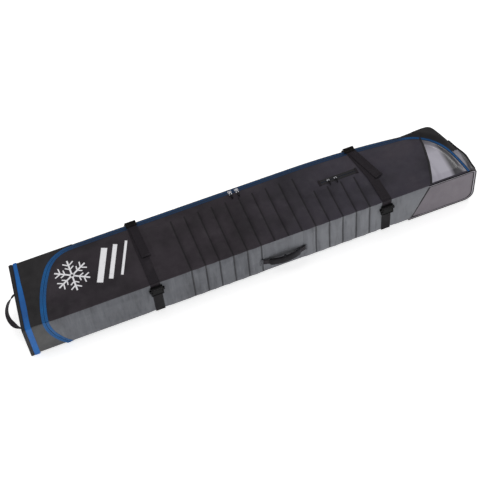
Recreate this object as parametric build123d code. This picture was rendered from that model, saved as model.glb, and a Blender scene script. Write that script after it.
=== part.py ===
from build123d import *
import os

# Padded bag for skis. All sizes in millimetres. +X runs along the bag, -Y is the side with
# the carry handle, +Z is up. The origin is on the ground, under the middle of the bag.

# Overall shape
LENGTH = 1850
FRONT_Y = -150
BACK_Y = 146
HEIGHT = 190
END_LEAN = 31  # the left end is this much further in at the back than at the front
FRONT_LEFT = (-LENGTH / 2, FRONT_Y)
FRONT_RIGHT = (LENGTH / 2, FRONT_Y)
BACK_LEFT = (-LENGTH / 2 + END_LEAN, BACK_Y)
BACK_RIGHT = (842, 107)
RIGHT_END_MIDDLE = (897, -20)
CORNER_R = 40  # rounded lower corner of the right end

# Layers, from the outside in
FABRIC = 2
PAD = 8
LINING = 1
STIFFENER = 3
WALL = FABRIC + PAD + LINING
TOP_FABRIC_Z = HEIGHT - FABRIC
RIM_Z = TOP_FABRIC_Z - 1
FLOOR_Z = FABRIC + STIFFENER + PAD + LINING
GAP = 0.3  # air between pieces of different bodies

# Main zip, as a run of (radius, turn in degrees) from the front left corner round the back.
# A run with no radius is straight and gives its length instead.
ZIP_START = (-835, FRONT_Y)
ZIP_START_HEADING = 84.5
ZIP_STRAIGHT_END = 240
ZIP_BACK_Y = 129
ZIP_RUNS = [(527, 24.5), (132, 60), (None, 892.5), (3613, 7.5), (187, 67.5), (811, 8)]
BACK_EDGE_OUT = BACK_Y - ZIP_BACK_Y
TAPE_GAP = 0.8  # half the gap between the two tapes
COIL_OUT = 4.5
PANEL_OUT = 5
TAPE_OUT = 15
TAPE_T = 1
COIL_T = 2.4
FRONT_RUN_R = 299
FRONT_RUN_TURN = 39.4
STRIP_X = (-640, 710)  # stretch where the back gusset itself folds over the top edge

# Webbing straps
WEB_W = 38
WEB_T = 1.8
TAIL_W = 34
STRAP_Z = HEIGHT + TAPE_T + 0.4
STRAP_FRONT_Y = FRONT_Y + 20
LEFT_STRAP = [(-407, 152.2), (-407, STRAP_FRONT_Y)]
RIGHT_STRAP = [(504, 144.2), (536, -30), (541, STRAP_FRONT_Y)]
LEFT_TAIL = [(-404, 146), (-398, -25)]
RIGHT_TAIL = [(508, 136), (560, -34)]
FRONT_BUCKLES = [(-405, 122), (541, 114)]  # x of the buckle and height of its lower edge
BACK_BUCKLES = [(-407, BACK_Y), (504, BACK_Y - 8)]

BACK_BUCKLE_Z = 128
TIE_DOWNS = (-420, 320)

# Carry handle
HANDLE_X = 110
HANDLE_HALF = 76
HANDLE_END_Y = FRONT_Y - 7
HANDLE_BOW = 16
HANDLE_Z = (62, 90)
GRIP_Z = (57, 95)
GRIP_HALF = 62

# End loop
LOOP_HALF = 80
LOOP_ROOT = 6
LOOP_REACH = 52
LOOP_Z = 95

# Lid pocket
POCKET_X = (339, 490)
POCKET_Y = 28

# Zip sliders, by name and place along the bag
POCKET_SLIDERS = [("left", 372), ("right", 402)]
MAIN_SLIDERS = [("left", -2), ("right", 26)]
PIN_HEIGHT = 4.2  # the pull's pin above the tape
PULL_SINK = 2  # degrees below level, so that the tab lies near the lid


def prism(face, low, high):
    """A flat outline in plan, made solid between two heights."""
    return extrude(Pos(0, 0, low) * face, high - low)


def block(x, y, z):
    """A box from its low and high limits along each axis."""
    size = [x[1] - x[0], y[1] - y[0], z[1] - z[0]]
    middle = [(x[0] + x[1]) / 2, (y[0] + y[1]) / 2, (z[0] + z[1]) / 2]
    return Pos(*middle) * Box(*size)


def polygon(points):
    return make_face(Polyline(*points, close=True))


def group(shapes):
    """Several shapes as one, with every solid kept separate."""
    return Compound(children=[solid for shape in shapes for solid in shape.solids()])


def save(name, shape):
    """Write one sub-part, whose separate solids stay separate."""
    export_step(group([shape]), f"parts/{name}.step")


def zip_edges():
    """Centre line of the main zip on the top of the bag."""
    start = Vector(*ZIP_START)
    heading = Vector(1, 0, 0).rotate(Axis.Z, ZIP_START_HEADING)
    edges = []
    for radius, amount in ZIP_RUNS:
        if radius is None:
            edge = Line(start, start + heading * amount)
        else:
            edge = JernArc(start, heading, radius, -amount)
        edges.append(edge)
        start = edge @ 1
        heading = edge % 1
    return edges


def zip_region(inset):
    """The part of the top inside the zip, drawn in by inset, and open past the front edge."""
    edges = zip_edges()
    tail = 60
    first = edges[0] @ 0 - (edges[0] % 0) * tail
    last = edges[-1] @ 1 + (edges[-1] % 1) * tail
    closing = [Line(first, edges[0] @ 0), Line(edges[-1] @ 1, last), Line(last, first)]
    face = make_face(edges + closing)
    return offset(face, amount=-inset, kind=Kind.INTERSECTION) if inset else face


def lid_area(inset, front):
    """The lid's outline, drawn in from the zip by inset, and cut straight along the front."""
    clip = Pos(0, front + 250) * Rectangle(2 * LENGTH, 500)
    return zip_region(inset) & clip


def plan(inset=0):
    """The outline of the whole bag seen from above, drawn in by inset."""
    edges = zip_edges()
    taper_r = ZIP_RUNS[3][0] + BACK_EDGE_OUT
    taper = JernArc((ZIP_STRAIGHT_END, BACK_Y), (1, 0), taper_r, -ZIP_RUNS[3][1])
    outline = [
        Line(FRONT_LEFT, FRONT_RIGHT),
        ThreePointArc(FRONT_RIGHT, RIGHT_END_MIDDLE, BACK_RIGHT),
        Line(BACK_RIGHT, taper @ 1),
        taper,
        Line(taper @ 0, BACK_LEFT),
        Line(BACK_LEFT, FRONT_LEFT),
    ]
    face = make_face(outline)
    return offset(face, amount=-inset, kind=Kind.INTERSECTION) if inset else face


def envelope(inset, top):
    """The outside of the bag, drawn in by inset, with its rounded lower right corner."""
    body = prism(plan(inset), inset, top)
    corner = body.edges().group_by(Axis.Z)[0].sort_by(Axis.X)[-1]
    return fillet(corner, CORNER_R - inset)


def through(inner, corner):
    """A point well outside the bag, on the mitre line through one of its corners."""
    return (2 * corner[0] - inner[0], 2 * corner[1] - inner[1])


def mitred(side):
    """The share of the bag in plan that belongs to one of its four walls."""
    left = (-780, 0)
    right = (780, 0)
    corners = {
        "front": [left, through(left, FRONT_LEFT), through(right, FRONT_RIGHT), right],
        "right": [right, through(right, FRONT_RIGHT), through(right, BACK_RIGHT)],
        "back": [right, through(right, BACK_RIGHT), through(left, BACK_LEFT), left],
        "left": [left, through(left, BACK_LEFT), through(left, FRONT_LEFT)],
    }
    return polygon(corners[side])


def front_zip_region(inset):
    """The part of the front face right of the zip's run down to the ground, in x and z."""
    run = JernArc((ZIP_START[0], HEIGHT), (0, -1), FRONT_RUN_R, FRONT_RUN_TURN)
    top = run @ 0 + Vector(0, 60, 0)
    bottom = run @ 1 + (run % 1) * 60
    edges = [
        Line(top, run @ 0),
        run,
        Line(run @ 1, bottom),
        Line(bottom, (1100, bottom.Y)),
        Line((1100, bottom.Y), (1100, top.Y)),
        Line((1100, top.Y), top),
    ]
    face = make_face(edges)
    return offset(face, amount=-inset, kind=Kind.INTERSECTION) if inset else face


def front_layer(face, y_out, y_in, z_low, z_high):
    """A shape drawn in x and z, made solid between two depths and cut to a height range."""
    clip = Pos(0, (z_low + z_high) / 2) * Rectangle(LENGTH, z_high - z_low)
    return extrude(Plane.XZ.offset(-y_in) * (face & clip), y_in - y_out)


def seam_line(offset_x):
    """The slanting seam between the front gusset and its end patch, in x and z."""
    return [(736 + offset_x, HEIGHT + 10), (645 + offset_x, -10)]


def right_of(line, far):
    """Everything to the right of a straight line, out to far."""
    top, bottom = line
    return polygon([top, (far, top[1]), (far, bottom[1]), bottom])


def lid_patch_region(shift):
    """Everything right of the curved seam across the lid."""
    seam = ThreePointArc((727 + shift, -156), (764 + shift, -55), (790 + shift, 95))
    edges = [seam, Line(seam @ 1, (1000, 95)), Line((1000, 95), (1000, -156))]
    return make_face(edges + [Line((1000, -156), seam @ 0)])


def build_walls():
    """The outer fabric panels round the sides and the base."""
    whole = envelope(0, TOP_FABRIC_Z)
    hollow = envelope(FABRIC, TOP_FABRIC_Z + 1)
    base_slab = block((-1000, 1000), (-200, 200), (0, FABRIC))
    save("base_panel", whole & base_slab)
    ring = whole - hollow - base_slab
    band = plan() - plan(FABRIC)
    areas = [band & mitred(side) for side in ("front", "back", "left")]
    front, back, left = [ring & prism(area, 0, HEIGHT) for area in areas]
    right = ring
    for area in areas:
        right -= prism(area, -1, HEIGHT)
    save("left_end_panel", left)
    save("right_end_panel", right)
    save("back_gusset", back + back_top_strip())
    depth = (FRONT_Y - 5, FRONT_Y + 60)
    gusset_top = TOP_FABRIC_Z - GAP
    beyond_zip = front_layer(front_zip_region(PANEL_OUT), *depth, 0, gusset_top)
    past_tape = front_layer(front_zip_region(-PANEL_OUT), *depth, 0, HEIGHT)
    patch = front_layer(right_of(seam_line(0), 1100), *depth, 0, gusset_top)
    save("front_gusset", (front & beyond_zip) - patch)
    save("front_end_patch", front & patch)
    save("front_corner_panel", front - past_tape)
    seam = right_of(seam_line(-3), 1100) - right_of(seam_line(3), 1100)
    save("front_seam_binding", front_layer(seam, FRONT_Y - 1, FRONT_Y, 5.5, 183))


def rim():
    """The parts of the top that stay on the body, outside the zip."""
    return prism(plan() - zip_region(-PANEL_OUT), TOP_FABRIC_Z, HEIGHT)


def back_top_strip():
    """The part of the back gusset that folds over the top edge up to the zip."""
    return rim() & block(STRIP_X, (0, 200), (0, HEIGHT))


def build_rim():
    """The two top panels, beyond the zip at either end."""
    save("left_top_panel", rim() & block((-1000, STRIP_X[0]), (-200, 200), (0, HEIGHT)))
    save("right_top_panel", rim() & block((STRIP_X[1], 1000), (-200, 200), (0, HEIGHT)))


def build_padding():
    """Foam, the stiff base board and the lining."""
    inside = envelope(FABRIC, RIM_Z)
    ring = inside & prism(plan(FABRIC) - plan(FABRIC + PAD), FABRIC, RIM_Z)
    pads = {side: ring & prism(mitred(side), 0, HEIGHT)
            for side in ("front", "back", "left", "right")}
    save("side_pads", group([pads["front"], pads["back"]]))
    save("end_pads", group([pads["left"], pads["right"]]))
    core = plan(FABRIC + PAD)
    board_top = FABRIC + STIFFENER
    save("base_stiffener", inside & prism(core, FABRIC, board_top))
    save("base_pad", inside & prism(core, board_top, board_top + PAD))
    skin = inside & prism(core, board_top + PAD, RIM_Z)
    save("lining", skin - prism(plan(WALL), FLOOR_Z, HEIGHT))


def build_zip():
    """Main zip: tapes on top, nylon coils sewn beneath them, and the run down the front."""
    lid_tape = lid_area(TAPE_GAP, FRONT_Y + 3) - zip_region(TAPE_OUT)
    save("zipper_tape_lid", prism(lid_tape, HEIGHT, HEIGHT + TAPE_T))
    lid_coil = lid_area(TAPE_GAP, FRONT_Y + 3) - zip_region(COIL_OUT)
    save("zipper_coil_lid", prism(lid_coil, HEIGHT - COIL_T, HEIGHT))
    body = lid_area(-TAPE_OUT, FRONT_Y) - zip_region(-TAPE_GAP)
    save("zipper_tape_body", prism(body, HEIGHT, HEIGHT + TAPE_T))
    body = lid_area(-COIL_OUT, FRONT_Y + FABRIC) - zip_region(-TAPE_GAP)
    top_coil = prism(body, HEIGHT - COIL_T, HEIGHT)
    tape = front_zip_region(-TAPE_OUT) - front_zip_region(-TAPE_GAP)
    tape += front_zip_region(TAPE_GAP) - front_zip_region(TAPE_OUT)
    save("zipper_tape_front", front_layer(tape, FRONT_Y - TAPE_T, FRONT_Y, 0, TOP_FABRIC_Z))
    coil = front_zip_region(-COIL_OUT) - front_zip_region(-TAPE_GAP)
    coil += front_zip_region(TAPE_GAP) - front_zip_region(COIL_OUT)
    coil_top = HEIGHT - COIL_T - GAP
    front_coil = front_layer(coil, FRONT_Y, FRONT_Y + FABRIC, FABRIC, coil_top)
    save("zipper_coil_body", group([top_coil, front_coil]))


def left_band(near, far, thick):
    """A strip round the top, front and back of the left end, between two distances in."""
    outer = prism(plan(-thick), 0, HEIGHT + thick) - prism(plan(), 0, HEIGHT)
    lean = Vector(END_LEAN, BACK_Y - FRONT_Y, 0)
    foot = Vector(*FRONT_LEFT) - lean * 0.1
    head = Vector(*FRONT_LEFT) + lean * 1.1
    corners = [(foot, near), (foot, far), (head, far), (head, near)]
    strip = polygon([(point.X + shift, point.Y) for point, shift in corners])
    return outer & prism(strip, 0, 2 * HEIGHT)


def build_edging():
    """Bindings at both ends. The right one outlines the end of the front face."""
    save("left_end_binding", left_band(0, 11, 1.6))
    save("left_end_piping", left_band(11, 34, 3))
    radius = 2.2
    low = radius + 0.1
    right = LENGTH / 2 - radius
    points = [(728, 186), (right, 186), (right, CORNER_R), (right - CORNER_R, low), (640, low)]
    y = FRONT_Y - radius - 0.1
    path = FilletPolyline(*[(x, y, z) for x, z in points], radius=12)
    profile = Plane(path @ 0, z_dir=path % 0) * Circle(radius)
    save("right_end_piping", sweep(profile, path=path))


def build_lid():
    """The lid: two outer panels, foam and lining, with the seam binding between the panels."""
    outer = prism(lid_area(PANEL_OUT, FRONT_Y), TOP_FABRIC_Z, HEIGHT)
    slot = block(POCKET_X, (POCKET_Y - 4.5, POCKET_Y + 4.5), (TOP_FABRIC_Z - 1, HEIGHT + 1))
    patch = prism(lid_patch_region(0), 0, 2 * HEIGHT)
    save("lid_panel", outer - patch - slot)
    save("lid_end_patch", outer & patch)
    band = lid_patch_region(-4) - lid_patch_region(4)
    binding = band & lid_area(TAPE_OUT + 0.5, FRONT_Y + 3)
    save("lid_seam_binding", prism(binding, HEIGHT, HEIGHT + 1))
    inner = lid_area(TAPE_OUT - 1, FRONT_Y + 12)
    recess = block((330, 508), (-70, 50), (181, TOP_FABRIC_Z + 1))
    save("lid_pad", prism(inner, 180, TOP_FABRIC_Z) - recess)
    save("lid_lining", prism(inner, 180 - LINING, 180))


def build_pocket():
    """The small zipped pocket in the lid, with its flat pouch behind the lid fabric."""
    halves = [(-12, -0.7), (0.7, 12)]
    coils = [(-4, -0.7), (0.7, 4)]
    ends = (POCKET_X[0] - 6, POCKET_X[1] + 6)
    tape = [block(ends, (POCKET_Y + a, POCKET_Y + b), (HEIGHT, HEIGHT + 0.8))
            for a, b in halves]
    save("pocket_zipper_tape", group(tape))
    coil = [block(POCKET_X, (POCKET_Y + a, POCKET_Y + b), (188.2, HEIGHT)) for a, b in coils]
    save("pocket_zipper_coil", group(coil))
    pouch = block((334, 504), (-66, 46), (181.2, 185))
    pouch -= block((336, 502), (-64, 44), (182.2, 184))
    pouch -= block((345, 485), (POCKET_Y - 3, POCKET_Y + 3), (183.5, 186))
    save("pocket_pouch", pouch)


def slider(x, y, base, scale, lid_side_only):
    """A zip slider: a top plate, a thin neck between the tapes, a lower plate and two lugs."""
    low, high = (-5.5, 0.5) if lid_side_only else (-4, 4)
    body = block((x - 8 * scale, x + 8 * scale), (y - 5 * scale, y + 5 * scale),
                 (base + 0.3, base + 1.9))
    body += block((x - 3, x + 3), (y - 0.4, y + 0.4), (base - 4.6, base + 0.4))
    body += block((x - 6 * scale, x + 6 * scale), (y + low, y + high),
                  (base - 5.3, base - 4.3))
    pin_z = base + PIN_HEIGHT
    for side in (-1, 1):
        lug_x = x + side * 3.2 * scale
        body += block((lug_x - 0.6, lug_x + 0.6), (y - 2 * scale, y + 2 * scale),
                      (base + 1.5, pin_z + 1.6))
    return body + Pos(x, y, pin_z) * Rot(0, 90, 0) * Cylinder(0.8, 6.8 * scale)


def pull(x, y, base, scale):
    """A zip pull that lies over the lid: an eye round the pin, a forked link and a tab."""
    eye_w = 3.6 * scale
    fork = [(-eye_w / 2, 0), (eye_w / 2, 0), (5.5, -15), (3.3, -15), (0, -5), (-3.3, -15),
            (-5.5, -15)]
    fork = [(u * scale, v * scale) for u, v in fork]
    tab = block((-5.5 * scale, 5.5 * scale), (-38 * scale, -14 * scale), (-0.8, 0.8))
    body = Rot(0, 90, 0) * Cylinder(1.9, eye_w) + prism(polygon(fork), -0.7, 0.7) + tab
    body -= Rot(0, 90, 0) * Cylinder(0.87, 3 * eye_w)
    return Pos(x, y, base + PIN_HEIGHT) * Rot(PULL_SINK, 0, 0) * body


def build_sliders():
    """The two main sliders and the two small ones on the pocket, each with its pull."""
    for name, x in MAIN_SLIDERS:
        place = (x, ZIP_BACK_Y, HEIGHT + TAPE_T)
        save(f"zip_slider_{name}", slider(*place, 1, True))
        save(f"zip_pull_{name}", pull(*place, 1))
    for name, x in POCKET_SLIDERS:
        place = (x, POCKET_Y, HEIGHT + 0.8)
        save(f"pocket_slider_{name}", slider(*place, 0.7, False))
        save(f"pocket_pull_{name}", pull(*place, 0.7))


def strip(points, width, low, high):
    """A length of webbing lying flat along a route in plan."""
    return prism(trace(Polyline(*points), line_width=width), low, high)


def build_straps():
    """Compression straps over the lid, with their spare ends, and the webbing on the body."""
    top = STRAP_Z + WEB_T
    straps, tails, adjusters, webbing = [], [], [], []
    routes = ((LEFT_STRAP, LEFT_TAIL), (RIGHT_STRAP, RIGHT_TAIL))
    for (route, tail), (x, edge) in zip(routes, BACK_BUCKLES):
        web = (x - WEB_W / 2, x + WEB_W / 2)
        down = block(web, (edge + 4.4, edge + 6.2), (BACK_BUCKLE_Z + 50.2, top))
        straps.append(strip(route, WEB_W, STRAP_Z, top) + down)
        end_x, end_y = tail[1]
        hem = strip([(end_x, end_y), (end_x, end_y - 7)], TAIL_W, top, top + 4)
        tails.append(strip(tail, TAIL_W, top, top + 1.5) + hem)
        adjusters.append(strap_adjuster(x, edge, top))
        webbing.append(block(web, (edge, edge + WEB_T), (2, BACK_BUCKLE_Z + 14)))
    save("top_straps", group(straps))
    save("strap_tails", group(tails))
    save("strap_adjusters", group(adjusters))
    save("back_webbing", group(webbing))
    front = [block((x - WEB_W / 2, x + WEB_W / 2), (FRONT_Y - WEB_T, FRONT_Y), (2, low + 14))
             for x, low in FRONT_BUCKLES]
    save("front_webbing", group(front))


def strap_adjuster(x, edge, strap_top):
    """The ribbed ladder-lock on a strap, right at the back edge of the bag."""
    lock = block((x - 22, x + 22), (edge - 20, edge + 2), (strap_top + 1.6, strap_top + 6))
    for rib in range(3):
        y = edge - 17 + 6 * rib
        lock += block((x - 20, x + 20), (y, y + 3), (strap_top + 5, strap_top + 8.5))
    return lock


def buckle_socket(lower_edge):
    """The half of a side-release buckle that stays put, with its mouth upward."""
    shell = block((-25, 25), (-12, -2.2), (lower_edge, lower_edge + 36))
    shell -= block((-21, 21), (-9.8, -4.4), (lower_edge + 10, lower_edge + 50))
    for side in (-1, 1):
        mouth = sorted((side * 18, side * 30))
        shell -= block(mouth, (-20, 0), (lower_edge + 22, lower_edge + 50))
    shell -= block((-20, 20), (-13, -9), (lower_edge + 3, lower_edge + 7))
    return shell


def buckle_plug(lower_edge, tip, thick):
    """The half that pulls out upward: a bar for the strap, two eared prongs and a guide."""
    bar_low = lower_edge + 38
    plug = block((-23, 23), (-11, -3), (bar_low, bar_low + 12))
    plug -= block((-20, 20), (-12, -2), (bar_low + 7, bar_low + 9.5))
    inner = -5.6
    for side in (-1, 1):
        prong = sorted((side * 13, side * 18.5))
        plug += block(prong, (inner - thick, inner), (lower_edge + tip, bar_low + 1))
        ear = sorted((side * 18.3, side * 30))
        plug += block(ear, (-10.5, -3.7), (lower_edge + 24, lower_edge + 35))
    return plug + block((-3, 3), (inner - 2, inner), (lower_edge + tip + 3, bar_low + 1))


def build_buckles():
    """Side-release buckles: a pair on the front face, and a pair turned to the back."""
    sockets = []
    for name, (x, low) in zip(("left", "right"), FRONT_BUCKLES):
        place = Pos(x, FRONT_Y, 0)
        sockets.append(place * buckle_socket(low))
        save(f"front_buckle_plug_{name}", place * buckle_plug(low, 13, 3))
        web = (x - WEB_W / 2, x + WEB_W / 2)
        save(f"front_strap_end_{name}", block(web, (FRONT_Y - 2.9, FRONT_Y - 1.1),
                                              (low + 40, low + 54)))
    save("front_buckle_sockets", group(sockets))
    sockets = []
    plugs = []
    for x, edge in BACK_BUCKLES:
        place = Pos(x, edge, 0) * Rot(0, 0, 180)
        sockets.append(place * buckle_socket(BACK_BUCKLE_Z))
        plugs.append(place * buckle_plug(BACK_BUCKLE_Z, 23, 2.4))
    save("back_buckle_sockets", group(sockets))
    save("back_buckle_plugs", group(plugs))


def handle_arc(half):
    """A stretch of the carry handle's bow, seen from above, half to each side of its middle."""
    radius = (HANDLE_HALF**2 + HANDLE_BOW**2) / (2 * HANDLE_BOW)
    middle_y = HANDLE_END_Y - HANDLE_BOW
    end_y = middle_y + radius - (radius**2 - half**2) ** 0.5
    left, right = (HANDLE_X - half, end_y), (HANDLE_X + half, end_y)
    return ThreePointArc(left, (HANDLE_X, middle_y), right)


def build_handle():
    """Carry handle: a bowed webbing strap in a padded grip, between two sewn tabs."""
    strap = prism(trace(handle_arc(HANDLE_HALF), line_width=3), *HANDLE_Z)
    save("carry_handle_strap", strap)
    grip = prism(trace(handle_arc(GRIP_HALF), line_width=12), *GRIP_Z)
    grip -= prism(trace(handle_arc(HANDLE_HALF), line_width=3), *HANDLE_Z)
    save("carry_handle_grip", grip)
    top_y = HANDLE_END_Y - HANDLE_BOW
    ring = Cylinder(5, 4) - Cylinder(3, 6)
    save("handle_ring", Pos(HANDLE_X - 2, top_y, GRIP_Z[1] + 5.3) * Rot(90, 0, 0) * ring)
    tabs = [block((HANDLE_X + side * 84 - 4, HANDLE_X + side * 84 + 4),
                  (FRONT_Y - 6, FRONT_Y), (58, 94)) for side in (-1, 1)]
    save("handle_anchors", group(tabs))


def build_end_loop():
    """Grab loop on the left end, with narrow roots between two sewn tabs."""
    lean = Vector(END_LEAN, BACK_Y - FRONT_Y, 0)
    middle = Vector(*FRONT_LEFT) + lean * 0.5
    angle = Vector(0, 1, 0).get_signed_angle(lean, Vector(0, 0, 1))
    place = Pos(middle.X, middle.Y, LOOP_Z) * Rot(0, 0, angle)
    bow = ThreePointArc((-LOOP_ROOT, -LOOP_HALF), (-LOOP_REACH, 0), (-LOOP_ROOT, LOOP_HALF))
    band = prism(trace(bow, line_width=3), -30, 30)
    near, far, end = -LOOP_ROOT + 3, -LOOP_ROOT - 26, -LOOP_REACH - 10
    side = [(near, -4), (far, -11), (end, -11), (end, 11), (far, 11), (near, 4)]
    taper = extrude(Plane.XZ.offset(-150) * polygon(side), 300)
    save("end_loop", place * (band & taper))
    tabs = [block((-5.5, 0), sorted((sign * 85, sign * 103)), (-13, 13)) for sign in (-1, 1)]
    save("end_loop_anchors", place * group(tabs))


def build_tie_downs():
    """Two straps across the inside that hold the skis down, each with a ladder-lock."""
    straps = []
    locks = []
    inner_front, inner_back = FRONT_Y + WALL, BACK_Y - WALL - 12
    for x in TIE_DOWNS:
        width = (x - 12.5, x + 12.5)
        straps.append(block(width, (inner_front, -14), (FLOOR_Z, FLOOR_Z + 1.5)))
        straps.append(block(width, (14, inner_back), (FLOOR_Z, FLOOR_Z + 1.5)))
        lock = block((x - 17, x + 17), (-16, 16), (FLOOR_Z + 1.5, FLOOR_Z + 6))
        for y in (-9, 0, 9):
            slot = block((x - 13.5, x + 13.5), (y - 1.8, y + 1.8), (FLOOR_Z, FLOOR_Z + 8))
            lock -= slot
        locks.append(lock)
    save("tie_down_straps", group(straps))
    save("tie_down_locks", group(locks))


os.makedirs("parts", exist_ok=True)
build_walls()
build_rim()
build_padding()
build_zip()
build_edging()
build_lid()
build_pocket()
build_sliders()
build_straps()
build_buckles()
build_handle()
build_end_loop()
build_tie_downs()
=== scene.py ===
"""Looks of the padded ski bag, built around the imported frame.

Lengths are millimetres in the row frame (+X along the bag, -Y the handle side, +Z up) until
make() turns them into metres.
"""

import math

import bmesh
import bpy
import numpy as np
from mathutils import Matrix, Vector, noise
from mathutils.bvhtree import BVHTree


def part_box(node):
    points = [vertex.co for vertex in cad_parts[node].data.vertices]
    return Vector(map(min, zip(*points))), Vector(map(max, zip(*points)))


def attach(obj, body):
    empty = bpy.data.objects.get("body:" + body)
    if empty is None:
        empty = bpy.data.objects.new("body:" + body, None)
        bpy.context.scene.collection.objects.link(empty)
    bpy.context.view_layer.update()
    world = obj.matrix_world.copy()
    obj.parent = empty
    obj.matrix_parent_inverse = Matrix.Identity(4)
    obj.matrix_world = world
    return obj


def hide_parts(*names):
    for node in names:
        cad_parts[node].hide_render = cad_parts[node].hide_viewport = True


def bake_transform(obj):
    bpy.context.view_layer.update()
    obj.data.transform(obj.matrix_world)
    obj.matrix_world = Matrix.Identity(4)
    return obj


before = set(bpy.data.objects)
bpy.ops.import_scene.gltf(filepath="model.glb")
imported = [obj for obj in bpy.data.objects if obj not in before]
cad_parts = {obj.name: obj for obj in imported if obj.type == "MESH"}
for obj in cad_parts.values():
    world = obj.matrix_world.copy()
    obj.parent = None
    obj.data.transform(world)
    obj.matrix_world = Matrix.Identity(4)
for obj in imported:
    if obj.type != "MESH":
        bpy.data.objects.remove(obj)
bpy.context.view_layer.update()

MM = 0.001


def low(node):
    """Lowest corner of a CAD node, in millimetres."""
    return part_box(node)[0] / MM


def high(node):
    """Highest corner of a CAD node, in millimetres."""
    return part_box(node)[1] / MM


# Overall shape: its limits come from the frame, and the rest repeats the bag's plan
LEFT_X = low("front_corner_panel").x
RIGHT_X = high("front_end_patch").x
FRONT_Y = low("front_gusset").y
BACK_Y = high("back_gusset").y
TOP_Z = high("lid_panel").z
END_LEAN = 31
BACK_RIGHT = (842, 107)
FAR_CORNER = (851, 119)  # the same corner before it is rounded
RIGHT_MIDDLE = (897, -20)
TAPER_START = 240
TAPER_TURN = 7.5
CORNER_R = 40
TOP_CORNER_R = 20
FAR_CORNER_ROUNDS = 150  # rounds of smoothing that soften the far right corner
RIM_ANGLE = math.radians(48)  # where the piping lies on the rounded top edge of the right end
END_SWELL = 6  # how far the right end stands out beside the front corner
WALL_T = 9

# Main zip, as runs of (radius, turn in degrees); a straight run has no radius
ZIP_START = (-835, -150)
ZIP_HEADING = 84.5
ZIP_RUNS = [(527, 24.5), (132, 60), (None, 892.5), (3613, 7.5), (187, 67.5), (811, 8)]
FRONT_RUN_R = 299
ZIP_BACK_Y = 129
LID_GAP = 3

# Sewn channels
CHANNEL_X = -260.4
CHANNEL_STEP = 56.2
CELL = CHANNEL_STEP / 11  # size of the mesh cells, a whole number to a sewn channel
CHANNELS = [CHANNEL_X + CHANNEL_STEP * i for i in range(15)]
HANDLE_ZONE = (30, 193)
LEFT_STRAP_X = -405
RIGHT_STRAP_X = 541
POCKET_X = (339, 490)
POCKET_Y = 28
NEAR_POCKET = (POCKET_X[0] - 60, POCKET_X[1] + 25)  # where the channels stop short of the pocket
CHANNEL_BACK = 92
CHANNEL_BACK_NEAR_POCKET = 4
SLIDER_TRAVEL = (-356, 250)  # the main sliders' pulls pass over this stretch of the lid
COATED_BACK = -40  # the right top panel is black cloth behind this

# Straps
WEB_W = 38
WEB_T = 1.8
TAIL_W = 34
STRAP_Z = 191.4
LEFT_STRAP = [(-407, 148), (-407, -149)]
RIGHT_STRAP = [(504, 140), (536, -30), (542, -149)]
LEFT_TAIL = [(-404, 132), (-398, -25)]
RIGHT_TAIL = [(509, 124), (560, -34)]
FRONT_BUCKLES = {"left": (-405, 122), "right": (541, 114)}
BACK_BUCKLES = [(-407, 146), (504, 138)]

HANDLE_X = 110
HANDLE_Z = 76


# ---------------------------------------------------------------- materials


def srgb(red, green, blue):
    """A linear colour from 8-bit display values."""
    def linear(value):
        value /= 255
        return value / 12.92 if value <= 0.04045 else ((value + 0.055) / 1.055) ** 2.4
    return (linear(red), linear(green), linear(blue), 1)


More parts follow.
